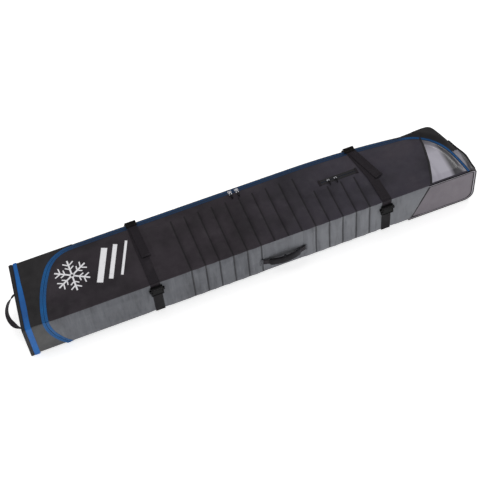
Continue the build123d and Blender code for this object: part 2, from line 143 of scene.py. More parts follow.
class Paint:
    """A small helper that wires shader nodes together."""

    def __init__(self, name, roughness=0.6, metallic=0.0, sheen=0.0, coat=0.0, specular=0.5):
        self.material = bpy.data.materials.new(name)
        self.material.use_nodes = True
        self.tree = self.material.node_tree
        self.shader = self.tree.nodes["Principled BSDF"]
        self.shader.inputs["Roughness"].default_value = roughness
        self.shader.inputs["Metallic"].default_value = metallic
        self.shader.inputs["Sheen Weight"].default_value = sheen
        self.shader.inputs["Sheen Roughness"].default_value = 0.4
        self.shader.inputs["Coat Weight"].default_value = coat
        self.shader.inputs["Coat Roughness"].default_value = 0.25
        self.shader.inputs["Specular IOR Level"].default_value = specular
        coords = self.node("ShaderNodeTexCoord")
        self.place = coords.outputs["Object"]
        self.bump = None

    def node(self, kind, **values):
        made = self.tree.nodes.new(kind)
        for key, value in values.items():
            setattr(made, key, value)
        return made

    def link(self, source, target):
        self.tree.links.new(source, target)

    def along(self):
        """Coordinates along and across a strap, in metres."""
        return self.node("ShaderNodeUVMap", uv_map="along").outputs["UV"]

    def split(self, vector=None):
        """The X and Y of a vector, or of the place on the piece."""
        parts = self.node("ShaderNodeSeparateXYZ")
        self.link(vector or self.place, parts.inputs["Vector"])
        return parts.outputs["X"], parts.outputs["Y"]

    def scaled(self, vector, scale):
        mapping = self.node("ShaderNodeMapping")
        mapping.inputs["Scale"].default_value = scale
        self.link(vector, mapping.inputs["Vector"])
        return mapping.outputs["Vector"]

    def noise(self, scale, detail=4, rough=0.55, vector=None, stretch=(1, 1, 1)):
        made = self.node("ShaderNodeTexNoise")
        made.inputs["Scale"].default_value = scale
        made.inputs["Detail"].default_value = detail
        made.inputs["Roughness"].default_value = rough
        self.link(self.scaled(vector or self.place, stretch), made.inputs["Vector"])
        return made.outputs["Fac"]

    def wave(self, period, axis, vector=None):
        made = self.node("ShaderNodeTexWave", bands_direction=axis)
        made.inputs["Scale"].default_value = math.pi / 10 / (period * MM)
        made.inputs["Distortion"].default_value = 0
        made.inputs["Detail"].default_value = 1
        self.link(vector or self.place, made.inputs["Vector"])
        return made.outputs["Fac"]

    def math(self, operation, first, second):
        made = self.node("ShaderNodeMath", operation=operation)
        for socket, value in zip(made.inputs, (first, second)):
            if isinstance(value, (int, float)):
                socket.default_value = value
            else:
                self.link(value, socket)
        return made.outputs["Value"]

    def spread(self, value, from_low, from_high, to_low, to_high):
        made = self.node("ShaderNodeMapRange")
        settings = (from_low, from_high, to_low, to_high)
        for key, number in zip(("From Min", "From Max", "To Min", "To Max"), settings):
            made.inputs[key].default_value = number
        self.link(value, made.inputs["Value"])
        return made.outputs["Result"]

    def ramp(self, value, *stops):
        made = self.node("ShaderNodeValToRGB")
        elements = made.color_ramp.elements
        while len(elements) < len(stops):
            elements.new(0.5)
        for element, (position, colour) in zip(elements, stops):
            element.position = position
            element.color = colour
        self.link(value, made.inputs["Fac"])
        return made.outputs["Color"]

    def mix(self, amount, first, second, blend="MIX"):
        made = self.node("ShaderNodeMix", data_type="RGBA", blend_type=blend)
        for socket, value in zip((made.inputs[0], made.inputs[6], made.inputs[7]),
                                 (amount, first, second)):
            if isinstance(value, (int, float, tuple)):
                socket.default_value = value
            else:
                self.link(value, socket)
        return made.outputs[2]

    def raise_by(self, height, distance, strength=1.0):
        """Adds a bump of so many millimetres."""
        made = self.node("ShaderNodeBump")
        made.inputs["Strength"].default_value = strength
        made.inputs["Distance"].default_value = distance * MM
        self.link(height, made.inputs["Height"])
        if self.bump:
            self.link(self.bump, made.inputs["Normal"])
        self.bump = made.outputs["Normal"]

    def done(self, colour, roughness=None):
        if isinstance(colour, tuple):
            self.shader.inputs["Base Color"].default_value = colour
        else:
            self.link(colour, self.shader.inputs["Base Color"])
        if roughness is not None:
            self.link(roughness, self.shader.inputs["Roughness"])
        if self.bump:
            self.link(self.bump, self.shader.inputs["Normal"])
        return self.material


def cloth_paint(name, dark, light, sheen=0.04, rough=(0.6, 0.85), weave=1.1, painted_light_to_right=None,
                coat=0.0, crumple=0.5, streak=None, specular=0.25, shaded_channels=None,
                painted_fold_light=0.0, patchy=0.0):
    """Woven nylon or polyester: a plain weave, slubs, faint creases, worn and dusty areas, and where
    asked painted light towards the right end, painted highlights and shade on folds, and painted
    shade beside the sewn channels.
    """
    paint = Paint(name, sheen=sheen, coat=coat, specular=specular)
    warp = paint.wave(weave, "X")
    weft = paint.wave(weave, "Y")
    rise = paint.wave(weave, "Z")
    threads = paint.math("MULTIPLY", paint.math("ADD", paint.math("ADD", warp, weft), rise), 0.33)
    slubs = paint.noise(260, 2, stretch=(1, 0.25, 0.25))
    cloud = paint.noise(5, 5)
    creases = paint.noise(38, 5, 0.65, stretch=streak or (1, 0.5, 0.6))
    wear = paint.noise(14, 6, 0.7)
    tone = paint.ramp(cloud, (0.3, dark), (0.72, light))
    tone = paint.mix(paint.spread(threads, 0.2, 0.9, 0.0, 0.22), tone, light)
    tone = paint.mix(paint.spread(slubs, 0.5, 0.8, 0.0, 0.25), tone, light)
    dust_and_highlight = tuple(min(1, channel * 1.5 + 0.008) for channel in light[:3]) + (1,)
    tone = paint.mix(paint.spread(wear, 0.6, 0.8, 0.0, 0.3), tone, dust_and_highlight)
    # Painted light: a colour is added more and more between two places along X, so the cloth is
    # lighter towards the right end, where the light falls.
    if painted_light_to_right:
        amount = paint.spread(paint.split()[0], painted_light_to_right[0], painted_light_to_right[1], 0, 1)
        tone = paint.mix(amount, tone, painted_light_to_right[2], "ADD")
    # Painted highlights and shade: lighter and darker streaks running up the cloth stand in for light
    # and shade on its folds.
    if painted_fold_light:
        fold_light_and_shade = paint.noise(62, 3, 0.6, stretch=(1, 0.16, 0.12))
        tone = paint.mix(paint.spread(fold_light_and_shade, 0.52, 0.72, 0, painted_fold_light), tone, dust_and_highlight)
        tone = paint.mix(paint.spread(fold_light_and_shade, 0.3, 0.46, painted_fold_light, 0), tone, srgb(44, 45, 48))
    if patchy:
        broad = paint.noise(7, 2, 0.4, stretch=(1, 1.4, 1))
        tone = paint.mix(paint.spread(broad, 0.54, 0.7, 0, patchy), tone, dust_and_highlight)
        tone = paint.mix(paint.spread(broad, 0.34, 0.46, patchy, 0), tone, srgb(14, 13, 15))
    # Painted shade: the cloth is darkened beside the sewn channels.
    if shaded_channels:
        tone = paint.mix(channel_shade(paint, *shaded_channels), tone, srgb(12, 11, 13))
    paint.raise_by(creases, 1.6, crumple)
    paint.raise_by(slubs, 0.12, 0.4)
    paint.raise_by(threads, 0.16, 0.5)
    return paint.done(tone, paint.spread(paint.noise(30, 4), 0.3, 0.7, *rough))


def channel_shade(paint, first, last, back, pocket_back, gap=(0, 0)):
    """Painted shade beside each sewn channel, where the cloth is drawn in, from 0 to 1."""
    x, y = paint.split()
    shift = paint.node("ShaderNodeMapping")
    shift.inputs["Location"].default_value = (-CHANNEL_X * MM, 0, 0)
    paint.link(paint.place, shift.inputs["Vector"])
    close = paint.wave(CHANNEL_STEP, "X", shift.outputs["Vector"])
    shade = paint.spread(close, 0.0, 0.06, 0.75, 0)
    edges = (CHANNELS[first] * MM, CHANNELS[last] * MM)
    inside = paint.math("MULTIPLY", paint.spread(x, edges[0] - 0.005, edges[0] - 0.004, 0, 1),
                        paint.spread(x, edges[1] + 0.004, edges[1] + 0.005, 1, 0))
    start, end = (edge * MM for edge in NEAR_POCKET)
    by_pocket = paint.math("MULTIPLY", paint.spread(x, start, start + 0.002, 0, 1),
                           paint.spread(x, end, end + 0.002, 1, 0))
    limit = paint.spread(by_pocket, 0, 1, back * MM, pocket_back * MM)
    in_reach = paint.math("LESS_THAN", y, limit)
    in_gap = paint.math("MULTIPLY", paint.math("GREATER_THAN", x, gap[0] * MM),
                        paint.math("LESS_THAN", x, gap[1] * MM))
    shade = paint.math("MULTIPLY", shade, paint.math("SUBTRACT", 1.0, in_gap))
    return paint.math("MULTIPLY", shade, paint.math("MULTIPLY", inside, in_reach))


def web_paint(name, dark, light, rib=2.4, rough=(0.5, 0.75)):
    """Webbing: lengthwise ribs crossed by a twill, with worn patches."""
    paint = Paint(name, sheen=0.02, specular=0.1)
    along = paint.along()
    ribs = paint.wave(rib, "Y", along)
    twill = paint.wave(1.7, "DIAGONAL", along)
    threads = paint.math("MULTIPLY", ribs, paint.spread(twill, 0, 1, 0.55, 1))
    cloud = paint.noise(18, 5)
    tone = paint.mix(paint.spread(threads, 0.1, 0.9, 0, 1), dark, light)
    wear_and_shade = tuple(min(1, channel * 1.7 + 0.01) for channel in light[:3]) + (1,)
    tone = paint.mix(paint.spread(cloud, 0.55, 0.8, 0, 0.35), tone, wear_and_shade)
    paint.raise_by(paint.noise(60, 3), 0.4, 0.4)
    paint.raise_by(threads, 0.35, 0.7)
    return paint.done(tone, paint.spread(cloud, 0.3, 0.7, *rough))


def tape_paint(name, dark, light, rough=(0.5, 0.7), weave=1.5, shaded_back=None):
    """Zip tape and binding: a herringbone weave; where asked, painted shade darkens it along the back
    of the bag and at its edges round the right end.
    """
    paint = Paint(name, sheen=0.03, specular=0.3)
    along = paint.along()
    slant = paint.wave(weave, "DIAGONAL", along)
    ribs = paint.wave(3.2, "Y", along)
    threads = paint.math("MULTIPLY", slant, paint.spread(ribs, 0, 1, 0.6, 1))
    cloud = paint.noise(9, 5)
    tone = paint.mix(paint.spread(cloud, 0.3, 0.7, 0, 1), dark, light)
    tone = paint.mix(paint.spread(threads, 0, 1, 0.18, 0), tone, dark)
    soiled = tuple(channel * 0.55 for channel in dark[:3]) + (1,)
    tone = paint.mix(paint.spread(paint.noise(45, 5, 0.7), 0.58, 0.8, 0, 0.4), tone, soiled)
    # Painted shade: the tape is darkened along the back of the bag, less so near one edge, and at
    # both edges round the right end.
    if shaded_back:
        place = paint.spread(paint.split()[0], -1, 1, 0, 1)
        unshaded, wear_and_shade = (0, 0, 0, 1), (1, 1, 1, 1)
        amount = paint.ramp(place, (0.13, unshaded), (0.19, wear_and_shade), (0.85, wear_and_shade), (0.885, unshaded))
        across = paint.split(along)[1]
        far_edge = paint.spread(across, -0.0068, -0.0058, 0.9, 0)
        amount = paint.math("MULTIPLY", amount, paint.math("SUBTRACT", 1.0, far_edge))
        by_edge = paint.spread(paint.math("ABSOLUTE", across, 0), 0.0024, 0.0034, 0, 1)
        right_curve = paint.ramp(place, (0.85, unshaded), (0.885, wear_and_shade))
        amount = paint.math("MAXIMUM", amount, paint.math("MULTIPLY", by_edge, right_curve))
        tone = paint.mix(amount, tone, paint.mix(paint.spread(threads, 0, 1, 0, 0.5), *shaded_back))
    paint.raise_by(paint.noise(70, 3), 0.5, 0.35)
    paint.raise_by(threads, 0.15, 0.5)
    return paint.done(tone, paint.spread(cloud, 0.3, 0.7, *rough))


def plastic_paint(name, dark, light, rough=(0.32, 0.5)):
    """Moulded acetal: a fine spark texture, dull scuffs and faint scratches."""
    paint = Paint(name, specular=0.08)
    grain = paint.noise(900, 2)
    scuff = paint.noise(80, 6, 0.75)
    scratch = paint.noise(60, 3, stretch=(1, 12, 4))
    tone = paint.mix(paint.spread(scuff, 0.5, 0.75, 0, 0.8), dark, light)
    tone = paint.mix(paint.spread(scratch, 0.64, 0.7, 0, 0.35), tone, light)
    paint.raise_by(grain, 0.05, 0.5)
    paint.raise_by(scratch, 0.05, 0.3)
    return paint.done(tone, paint.spread(scuff, 0.3, 0.7, *rough))


def metal_paint(name, dark, light):
    """Die-cast, plated zinc with handling marks."""
    paint = Paint(name, metallic=1.0)
    scuff = paint.noise(160, 5, 0.7)
    tone = paint.mix(paint.spread(scuff, 0.35, 0.7, 0, 1), dark, light)
    paint.raise_by(paint.noise(500, 3), 0.04, 0.4)
    return paint.done(tone, paint.spread(scuff, 0.3, 0.7, 0.18, 0.38))


def coated_paint(name, dark, light):
    """PVC-coated cloth: smooth, with the scrim showing faintly, soft upright painted sheen bands, and
    painted shade of its folds.
    """
    paint = Paint(name, coat=0.25, specular=0.5)
    scrim = paint.math("MULTIPLY", paint.wave(2.6, "X"), paint.wave(2.6, "Y"))
    bands = paint.noise(16, 3, 0.5, stretch=(1, 0.12, 0.12))
    cloud = paint.noise(7, 4)
    tone = paint.ramp(bands, (0.3, dark), (0.6, light))
    x, y = paint.split()
    black = srgb(26, 24, 28)
    across = paint.spread(x, 0.75, 0.93, 0, 1)
    # Painted shade: dark bands across X stand in for the shaded sides of the panel's folds.
    none, some, full = (0, 0, 0, 1), (0.3, 0.3, 0.3, 1), (0.95, 0.95, 0.95, 1)
    fold = paint.ramp(across, (0.38, none), (0.48, full), (0.62, full), (0.69, some),
                      (0.73, none), (0.79, none), (0.82, full), (0.9, full), (0.94, none))
    tone = paint.mix(fold, tone, black)
    to_back = paint.spread(y, -0.02, 0.06, 0, 0.85)
    tone = paint.mix(to_back, tone, black)
    tone = paint.mix(paint.spread(cloud, 0.45, 0.75, 0, 0.4), tone, dark)
    tone = paint.mix(paint.spread(paint.noise(60, 6, 0.75), 0.62, 0.72, 0, 0.35), tone, dark)
    paint.raise_by(bands, 2.5, 0.5)
    paint.raise_by(scrim, 0.12, 0.35)
    return paint.done(tone, paint.spread(cloud, 0.3, 0.7, 0.3, 0.46))


def print_paint(name):
    """Screen-printed white ink: matt, a little thin in places."""
    paint = Paint(name, specular=0.3)
    thin = paint.noise(70, 6, 0.75)
    tone = paint.ramp(thin, (0.2, srgb(196, 194, 198)), (0.45, srgb(238, 237, 240)))
    paint.raise_by(paint.noise(400, 3), 0.06, 0.4)
    return paint.done(tone, paint.spread(thin, 0.3, 0.7, 0.55, 0.75))


# Lid cloth, with painted light towards the right end and painted shade beside the sewn channels.
LID_CLOTH = cloth_paint("lid_cloth", srgb(36, 31, 36), srgb(48, 42, 48),
                        painted_light_to_right=(-0.05, 0.4, (0.011, 0.012, 0.018, 1)), streak=(1, 0.3, 0.5),
                        shaded_channels=(0, 13, CHANNEL_BACK, CHANNEL_BACK_NEAR_POCKET), patchy=0.3)
BLACK_CLOTH = cloth_paint("black_cloth", srgb(28, 27, 28), srgb(40, 38, 40))
# Grey front cloth, with painted highlights and shade on folds, painted shade beside the channels and
# painted light towards the right.
GREY_CLOTH = cloth_paint("grey_cloth", srgb(82, 83, 88), srgb(100, 102, 107), sheen=0.06,
                         streak=(1, 0.4, 0.22), crumple=0.7,
                         shaded_channels=(0, 14, CHANNEL_BACK, CHANNEL_BACK, HANDLE_ZONE),
                         painted_fold_light=0.3, painted_light_to_right=(-0.1, 0.3, (0.034, 0.034, 0.035, 1)))
CORNER_CLOTH = cloth_paint("corner_cloth", srgb(64, 64, 65), srgb(80, 80, 80), sheen=0.06)
PATCH_CLOTH = cloth_paint("patch_cloth", srgb(100, 95, 101), srgb(118, 112, 118), sheen=0.06)
BASE_CLOTH = cloth_paint("base_cloth", srgb(22, 22, 24), srgb(34, 34, 37), weave=1.8, coat=0.1)
LINING_CLOTH = cloth_paint("lining_cloth", srgb(58, 60, 66), srgb(78, 80, 88), weave=0.8)
COATED = coated_paint("coated_cloth", srgb(106, 103, 112), srgb(164, 161, 172))
# The blue zip tape, with painted shade along the back and round the right end.
BLUE = tape_paint("blue_tape", srgb(4, 70, 122), srgb(12, 94, 156),
                  shaded_back=(srgb(18, 40, 66), srgb(32, 64, 94)))
BLUE_BAND = tape_paint("blue_band", srgb(10, 78, 144), srgb(20, 104, 180), weave=2.2)
BLACK_TAPE = tape_paint("black_tape", srgb(18, 17, 19), srgb(32, 29, 33))
PALE_TAPE = tape_paint("pale_tape", srgb(140, 136, 143), srgb(182, 178, 185))
COIL = plastic_paint("coil", srgb(12, 24, 44), srgb(30, 52, 84))
WEBBING = web_paint("webbing", srgb(24, 21, 25), srgb(48, 43, 48))
# A darker copy of the webbing, painted shade for the webbing down the front, which lies in shade.
SHADED_WEBBING = web_paint("front_webbing", srgb(10, 9, 11), srgb(30, 27, 31))
GREY_WEBBING = web_paint("grey_webbing", srgb(78, 79, 84), srgb(106, 108, 113))
PLASTIC = plastic_paint("buckle_plastic", srgb(6, 6, 7), srgb(18, 17, 19), rough=(0.45, 0.65))
LOCK_PLASTIC = plastic_paint("lock_plastic", srgb(24, 22, 22), srgb(44, 41, 40))
METAL = metal_paint("slider_metal", srgb(185, 185, 190), srgb(240, 240, 244))
BLACK_METAL = metal_paint("black_metal", srgb(30, 30, 33), srgb(62, 62, 66))
# Grip cloth, with painted light over the right part of the grip.
GRIP = cloth_paint("grip_cloth", srgb(14, 13, 15), srgb(26, 25, 28), weave=2.2, crumple=0.8,
                   specular=0.1, painted_light_to_right=(0.11, 0.17, (0.014, 0.014, 0.017, 1)))
CORD = web_paint("pull_cord", srgb(14, 13, 15), srgb(34, 32, 36), rib=0.9)
BLACK_TAPE_THREAD = web_paint("black_thread", srgb(14, 13, 15), srgb(30, 27, 31), rib=0.5)
THREAD = web_paint("thread", srgb(52, 50, 54), srgb(78, 76, 81), rib=0.5)
BLUE_THREAD = web_paint("blue_thread", srgb(10, 44, 90), srgb(20, 70, 130), rib=0.5)
PIPING = plastic_paint("piping", srgb(9, 8, 10), srgb(34, 32, 36), rough=(0.3, 0.45))
INK = print_paint("white_ink")


# ---------------------------------------------------------------- mesh helpers


def make(name, shape, material, body=None, shade=1, along=None, marks=None):
    """Turns (points, faces) in millimetres into a piece. marks gives faces other materials."""
    points, faces = shape
    mesh = bpy.data.meshes.new(name)
    mesh.from_pydata((np.asarray(points, float) * MM).tolist(), [], faces)
    materials = material if isinstance(material, (list, tuple)) else [material]
    for one in materials:
        mesh.materials.append(one)
    if marks is not None:
        mesh.polygons.foreach_set("material_index", np.asarray(marks, np.int32))
    if along is not None:
        layer = mesh.uv_layers.new(name="along")
        corners = np.array([loop.vertex_index for loop in mesh.loops])
        layer.data.foreach_set("uv", (np.asarray(along, float)[corners] * MM).ravel())
    tidy = bmesh.new()
    tidy.from_mesh(mesh)
    bmesh.ops.remove_doubles(tidy, verts=tidy.verts, dist=0.02 * MM)
    bmesh.ops.dissolve_degenerate(tidy, edges=tidy.edges, dist=0.01 * MM)
    bmesh.ops.recalc_face_normals(tidy, faces=tidy.faces)
    tidy.to_mesh(mesh)
    tidy.free()
    mesh.polygons.foreach_set("use_smooth", np.full(len(mesh.polygons), bool(shade)))
    piece = bpy.data.objects.new(name, mesh)
    bpy.context.scene.collection.objects.link(piece)
    if shade == 2:
        add_subdivision(piece)
    if body:
        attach(piece, body)
    return piece


def add_subdivision(piece):
    modifier = piece.modifiers.new("soften", "SUBSURF")
    modifier.levels = 1
    modifier.render_levels = 1


def join(shapes):
    """Several (points, faces) as one."""
    points, faces, count = [], [], 0
    for some_points, some_faces in shapes:
        points.append(np.asarray(some_points, float))
        faces += [tuple(index + count for index in face) for face in some_faces]
        count += len(some_points)
    return np.concatenate(points), faces


def grid_faces(rows, columns, start=0, flip=False):
    faces = []
    for i in range(rows - 1):
        for j in range(columns - 1):
            a = start + i * columns + j
            face = (a, a + columns, a + columns + 1, a + 1)
            faces.append(face[::-1] if flip else face)
    return faces


def slab(outer, inner):
    """A closed form between two matching grids of points. Outer faces come first."""
    rows, columns = outer.shape[:2]
    count = rows * columns
    faces = grid_faces(rows, columns) + grid_faces(rows, columns, count, True)
    index = np.arange(count).reshape(rows, columns)
    rim = list(index[0, :]) + list(index[1:, -1]) + list(index[-1, -2::-1])
    rim += list(index[-2:0:-1, 0])
    rim = [int(i) for i in rim]
    for a, b in zip(rim, rim[1:] + rim[:1]):
        faces.append((a, b, b + count, a + count))
    points = np.concatenate([outer.reshape(-1, 3), inner.reshape(-1, 3)])
    return points, faces


def ease(value):
    """Smooth step from 0 to 1."""
    value = np.clip(value, 0, 1)
    return value * value * (3 - 2 * value)


def unit(vectors):
    vectors = np.asarray(vectors, float)
    return vectors / np.maximum(np.linalg.norm(vectors, axis=-1, keepdims=True), 1e-9)


def tangents(points):
    return unit(np.gradient(np.asarray(points, float), axis=0))


def respace(points, step):
    """The same route, with points evenly spaced."""
    points = np.asarray(points, float)
    lengths = np.r_[0, np.cumsum(np.linalg.norm(np.diff(points, axis=0), axis=1))]
    count = max(2, int(round(lengths[-1] / step)) + 1)
    at = np.linspace(0, lengths[-1], count)
    return np.stack([np.interp(at, lengths, points[:, k]) for k in range(3)], axis=1)


def rounded(points, step, times):
    """An evenly spaced route with its corners eased by averaging neighbours."""
    route = respace(points, step)
    for _ in range(times):
        route[1:-1] = (route[:-2] + 2 * route[1:-1] + route[2:]) / 4
    return route


RIBBON = [(-0.5, 0.3), (-0.488, 0.8), (-0.455, 1), (-0.38, 0.94), (-0.2, 0.88), (0, 0.86),
          (0.2, 0.88), (0.38, 0.94), (0.455, 1), (0.488, 0.8), (0.5, 0.3), (0.47, 0), (0, 0),
          (-0.47, 0)]
CROWNED = [(-0.5, 0), (-0.47, 0.45), (-0.36, 0.8), (-0.18, 0.96), (0, 1), (0.18, 0.96),
           (0.36, 0.8), (0.47, 0.45), (0.5, 0), (0, 0)]


def ribbon(route, up, width, thick, profile=RIBBON):
    """A flat band along a route: its shape and its coordinates along and across."""
    route = np.asarray(route, float)
    up = unit(np.broadcast_to(np.asarray(up, float), route.shape))
    side = unit(np.cross(tangents(route), up))
    up = unit(np.cross(side, tangents(route)))
    width = np.broadcast_to(np.asarray(width, float), len(route))
    lengths = np.r_[0, np.cumsum(np.linalg.norm(np.diff(route, axis=0), axis=1))]
    rings, along = [], []
    for across, rise in profile:
        rings.append(route + side * (across * width)[:, None] + up * rise * thick)
        along.append(np.stack([lengths, across * width], axis=1))
    points = np.stack(rings, axis=1).reshape(-1, 3)
    along = np.stack(along, axis=1).reshape(-1, 2)
    return (points, ring_faces(len(route), len(profile))), along


def strap(name, route, up, width, thick, material, body, profile=RIBBON):
    shape, along = ribbon(route, up, width, thick, profile)
    return make(name, shape, material, body, along=along)


def ring_faces(count, around, closed=False):
    """Faces between rings of points, each of the same number, with caps unless closed."""
    faces = []
    for i in range(count if closed else count - 1):
        after = (i + 1) % count
        for k in range(around):
            k2 = (k + 1) % around
            faces.append((i * around + k, i * around + k2, after * around + k2,
                          after * around + k))
    if not closed:
        faces.append(tuple(range(around)))
        faces.append(tuple(range((count - 1) * around, count * around)))
    return faces


def tube(route, radius, around=10, closed=False):
    """A round rod along a route. radius may change along it."""
    route = np.asarray(route, float)
    count = len(route)
    if closed:
        heading = unit(np.roll(route, -1, 0) - np.roll(route, 1, 0))
    else:
        heading = tangents(route)
    radius = np.broadcast_to(np.asarray(radius, float), count)
    seed = np.array([0.0, 0, 1]) if abs(heading[0][2]) < 0.9 else np.array([1.0, 0, 0])
    side = unit(np.cross(heading[0], seed))
    points = []
    for i in range(count):
        side = unit(side - heading[i] * np.dot(side, heading[i]))
        other = np.cross(heading[i], side)
        for k in range(around):
            turn = 2 * math.pi * k / around
            points.append(route[i] + radius[i] * (side * math.cos(turn) + other * math.sin(turn)))
    return np.array(points), ring_faces(count, around, closed)


def stitches(route, up, pitch=5.5, length=3.6, radius=0.45):
    """A row of thread stitches lying on a surface."""
    source = np.asarray(route, float)
    route = respace(source, pitch)
    headings = tangents(route)
    up = np.broadcast_to(np.asarray(up, float), source.shape)
    share = np.linspace(0, 1, len(source))
    up = unit(np.stack([np.interp(np.linspace(0, 1, len(route)), share, up[:, k])
                        for k in range(3)], axis=1))
    shapes = []
    for point, heading, lift in zip(route, headings, up):
        side = np.cross(heading, lift)
        ring = []
        for reach, size in ((-0.5, 0.3), (-0.25, 1), (0.25, 1), (0.5, 0.3)):
            for across, rise in ((-1, -0.6), (-0.7, 0.7), (0.7, 0.7), (1, -0.6)):
                ring.append(point + heading * reach * length + side * across * radius * size
                            + lift * rise * radius * size)
        shapes.append((ring, ring_faces(4, 4)))
    return join(shapes)


def ripple(x, y, z, size, seed=0.0):
    """Smooth noise from -1 to 1 at each point."""
    flat = np.broadcast_arrays(x, y, z)
    values = [noise.noise(Vector((a / size + seed, b / size, c / size - seed)))
              for a, b, c in zip(*(part.ravel() for part in flat))]
    return np.array(values).reshape(flat[0].shape)


# ---------------------------------------------------------------- outlines


def run_line(start, heading, runs, step):
    """Points (x, y, heading) along straight and round stretches that turn clockwise."""
    x, y = start
    angle = math.radians(heading)
    line = [(x, y, angle)]
    for radius, amount in runs:
        length = amount if radius is None else radius * math.radians(amount)
        count = max(1, round(length / step))
        turn = 0 if radius is None else math.radians(amount) / count
        chord = length / count if radius is None else 2 * radius * math.sin(turn / 2)
        for _ in range(count):
            x += chord * math.cos(angle - turn / 2)
            y += chord * math.sin(angle - turn / 2)
            angle -= turn
            line.append((x, y, angle))
    return np.array(line)


ZIP_LINE = run_line(ZIP_START, ZIP_HEADING, ZIP_RUNS, CELL)


def beside_zip(inward, line=ZIP_LINE):
    """The zip's line moved towards the lid, or away from it where inward is negative."""
    x, y, angle = line.T
    return np.stack([x + inward * np.sin(angle), y - inward * np.cos(angle)], axis=1)


def from_zip(x, y):
    """Distance of points from the zip's line."""
    line = ZIP_LINE[::3, :2]
    flat = np.stack([x.ravel(), y.ravel()], axis=1)
    gaps = np.linalg.norm(flat[:, None, :] - line[None, :, :], axis=2)
    return gaps.min(axis=1).reshape(x.shape)


def circle_through(a, b, c, count):
    """Points on the arc from a to c through b."""
    a, b, c = (np.array(p, float) for p in (a, b, c))
    lhs = 2 * np.array([b - a, c - a])
    rhs = np.array([b @ b - a @ a, c @ c - a @ a])
    centre = np.linalg.solve(lhs, rhs)
    radius = np.linalg.norm(a - centre)
    first, middle, last = (math.atan2(*(p - centre)[::-1]) for p in (a, b, c))
    full = 2 * math.pi
    turn = (last - first) % full
    if (middle - first) % full > turn:
        turn -= full
    angles = np.linspace(first, first + turn, count)
    return centre + radius * np.stack([np.cos(angles), np.sin(angles)], axis=1)


def rim_line():
    """The bag's outline from above, anticlockwise from the front left corner, with soft corners."""
    back_left = (LEFT_X + END_LEAN, BACK_Y)
    right = circle_through((RIGHT_X, FRONT_Y), RIGHT_MIDDLE, FAR_CORNER, 60)
    taper_r = ZIP_RUNS[3][0] + BACK_Y - ZIP_BACK_Y
    taper = run_line((TAPER_START, BACK_Y), 0, [(taper_r, TAPER_TURN)], CELL)[::-1, :2]
    corners = np.concatenate([[(LEFT_X, FRONT_Y)], right, taper, [back_left],
                              [(LEFT_X, FRONT_Y)]])
    route = respace(np.c_[corners, np.zeros(len(corners))], 2)[:-1, :2]
    for _ in range(12):
        route = (np.roll(route, 1, 0) + 2 * route + np.roll(route, -1, 0)) / 4
    near = ease(1.4 - np.linalg.norm(route - BACK_RIGHT, axis=1) / 60)[:, None]
    for _ in range(FAR_CORNER_ROUNDS):
        route += near * ((np.roll(route, 1, 0) + np.roll(route, -1, 0)) / 2 - route) / 2
    swell = END_SWELL * np.exp(-((route[:, 1] + 70) / 34) ** 2) * (route[:, 0] > RIGHT_MIDDLE[0] - 60)
    route[:, 0] += swell
    inward = np.roll(route, -1, 0) - np.roll(route, 1, 0)
    inward = unit(np.stack([-inward[:, 1], inward[:, 0]], axis=1))
    return route, inward


RIM, RIM_IN = rim_line()


def rim_index(x, y):
    """Where on the rim a place is, as an index."""
    return int(np.argmin(np.linalg.norm(RIM - np.array([x, y]), axis=1)))


def rim_span(start, end, count):
    """Evenly spaced points and inward directions on the rim, between two places."""
    first, last = rim_index(*start), rim_index(*end)
    if last <= first:
        last += len(RIM)
    at = np.linspace(first, last, count)
    low_at = np.floor(at).astype(int)
    share = (at - low_at)[:, None]
    before, after = low_at % len(RIM), (low_at + 1) % len(RIM)
    return (RIM[before] * (1 - share) + RIM[after] * share,
            unit(RIM_IN[before] * (1 - share) + RIM_IN[after] * share))


def roll_in(depth, radius):
    """How far a rounded edge has drawn in, at a depth below the edge."""
    inside = np.clip(radius - depth, 0, radius)
    return radius - np.sqrt(np.maximum(radius**2 - inside**2, 0))


def zip_x_on_front(z):
    """Where the zip's run down the front is, at a height."""
    drop = np.clip(TOP_Z - z, 0, FRONT_RUN_R)
    return ZIP_START[0] + FRONT_RUN_R - np.sqrt(FRONT_RUN_R**2 - drop**2)


def seam_x_on_front(z):
    """Where the slanting seam on the front is, at a height."""
    return 645 + (z + 10) * 91 / 210


def clear_of(x, centre, half, soft):
    """0 within half of a centre line, rising to 1 over the next stretch."""
    return ease((np.abs(x - centre) - half) / soft)


# ---------------------------------------------------------------- cloth simulation


def simulate(grid, pinned, push, slack, frames=18):
    """Runs a cloth simulation on a grid of points and returns where they end up."""
    rows, columns = grid.shape[:2]
    mesh = bpy.data.meshes.new("drape")
    mesh.from_pydata((grid.reshape(-1, 3) * MM).tolist(), [], grid_faces(rows, columns))
    sheet = bpy.data.objects.new("drape", mesh)
    scene = bpy.context.scene
    scene.collection.objects.link(sheet)
    group = sheet.vertex_groups.new(name="pin")
    group.add(np.flatnonzero(pinned.ravel()).tolist(), 1.0, "REPLACE")
    cloth = sheet.modifiers.new("cloth", "CLOTH")
    cloth.settings.quality = 5
    cloth.settings.mass = 0.12
    cloth.settings.tension_stiffness = 20
    cloth.settings.compression_stiffness = 12
    cloth.settings.shear_stiffness = 6
    cloth.settings.bending_stiffness = 0.02
    cloth.settings.air_damping = 4
    cloth.settings.vertex_group_mass = "pin"
    cloth.settings.shrink_min = -slack
    cloth.collision_settings.use_collision = False
    cloth.point_cache.frame_start = 1
    cloth.point_cache.frame_end = frames
    scene.gravity = push
    for number in range(1, frames + 1):
        scene.frame_set(number)
    done = sheet.evaluated_get(bpy.context.evaluated_depsgraph_get()).to_mesh()
    moved = np.empty(len(done.vertices) * 3)
    done.vertices.foreach_get("co", moved)
    bpy.data.objects.remove(sheet)
    scene.frame_set(1)
    return moved.reshape(grid.shape) / MM


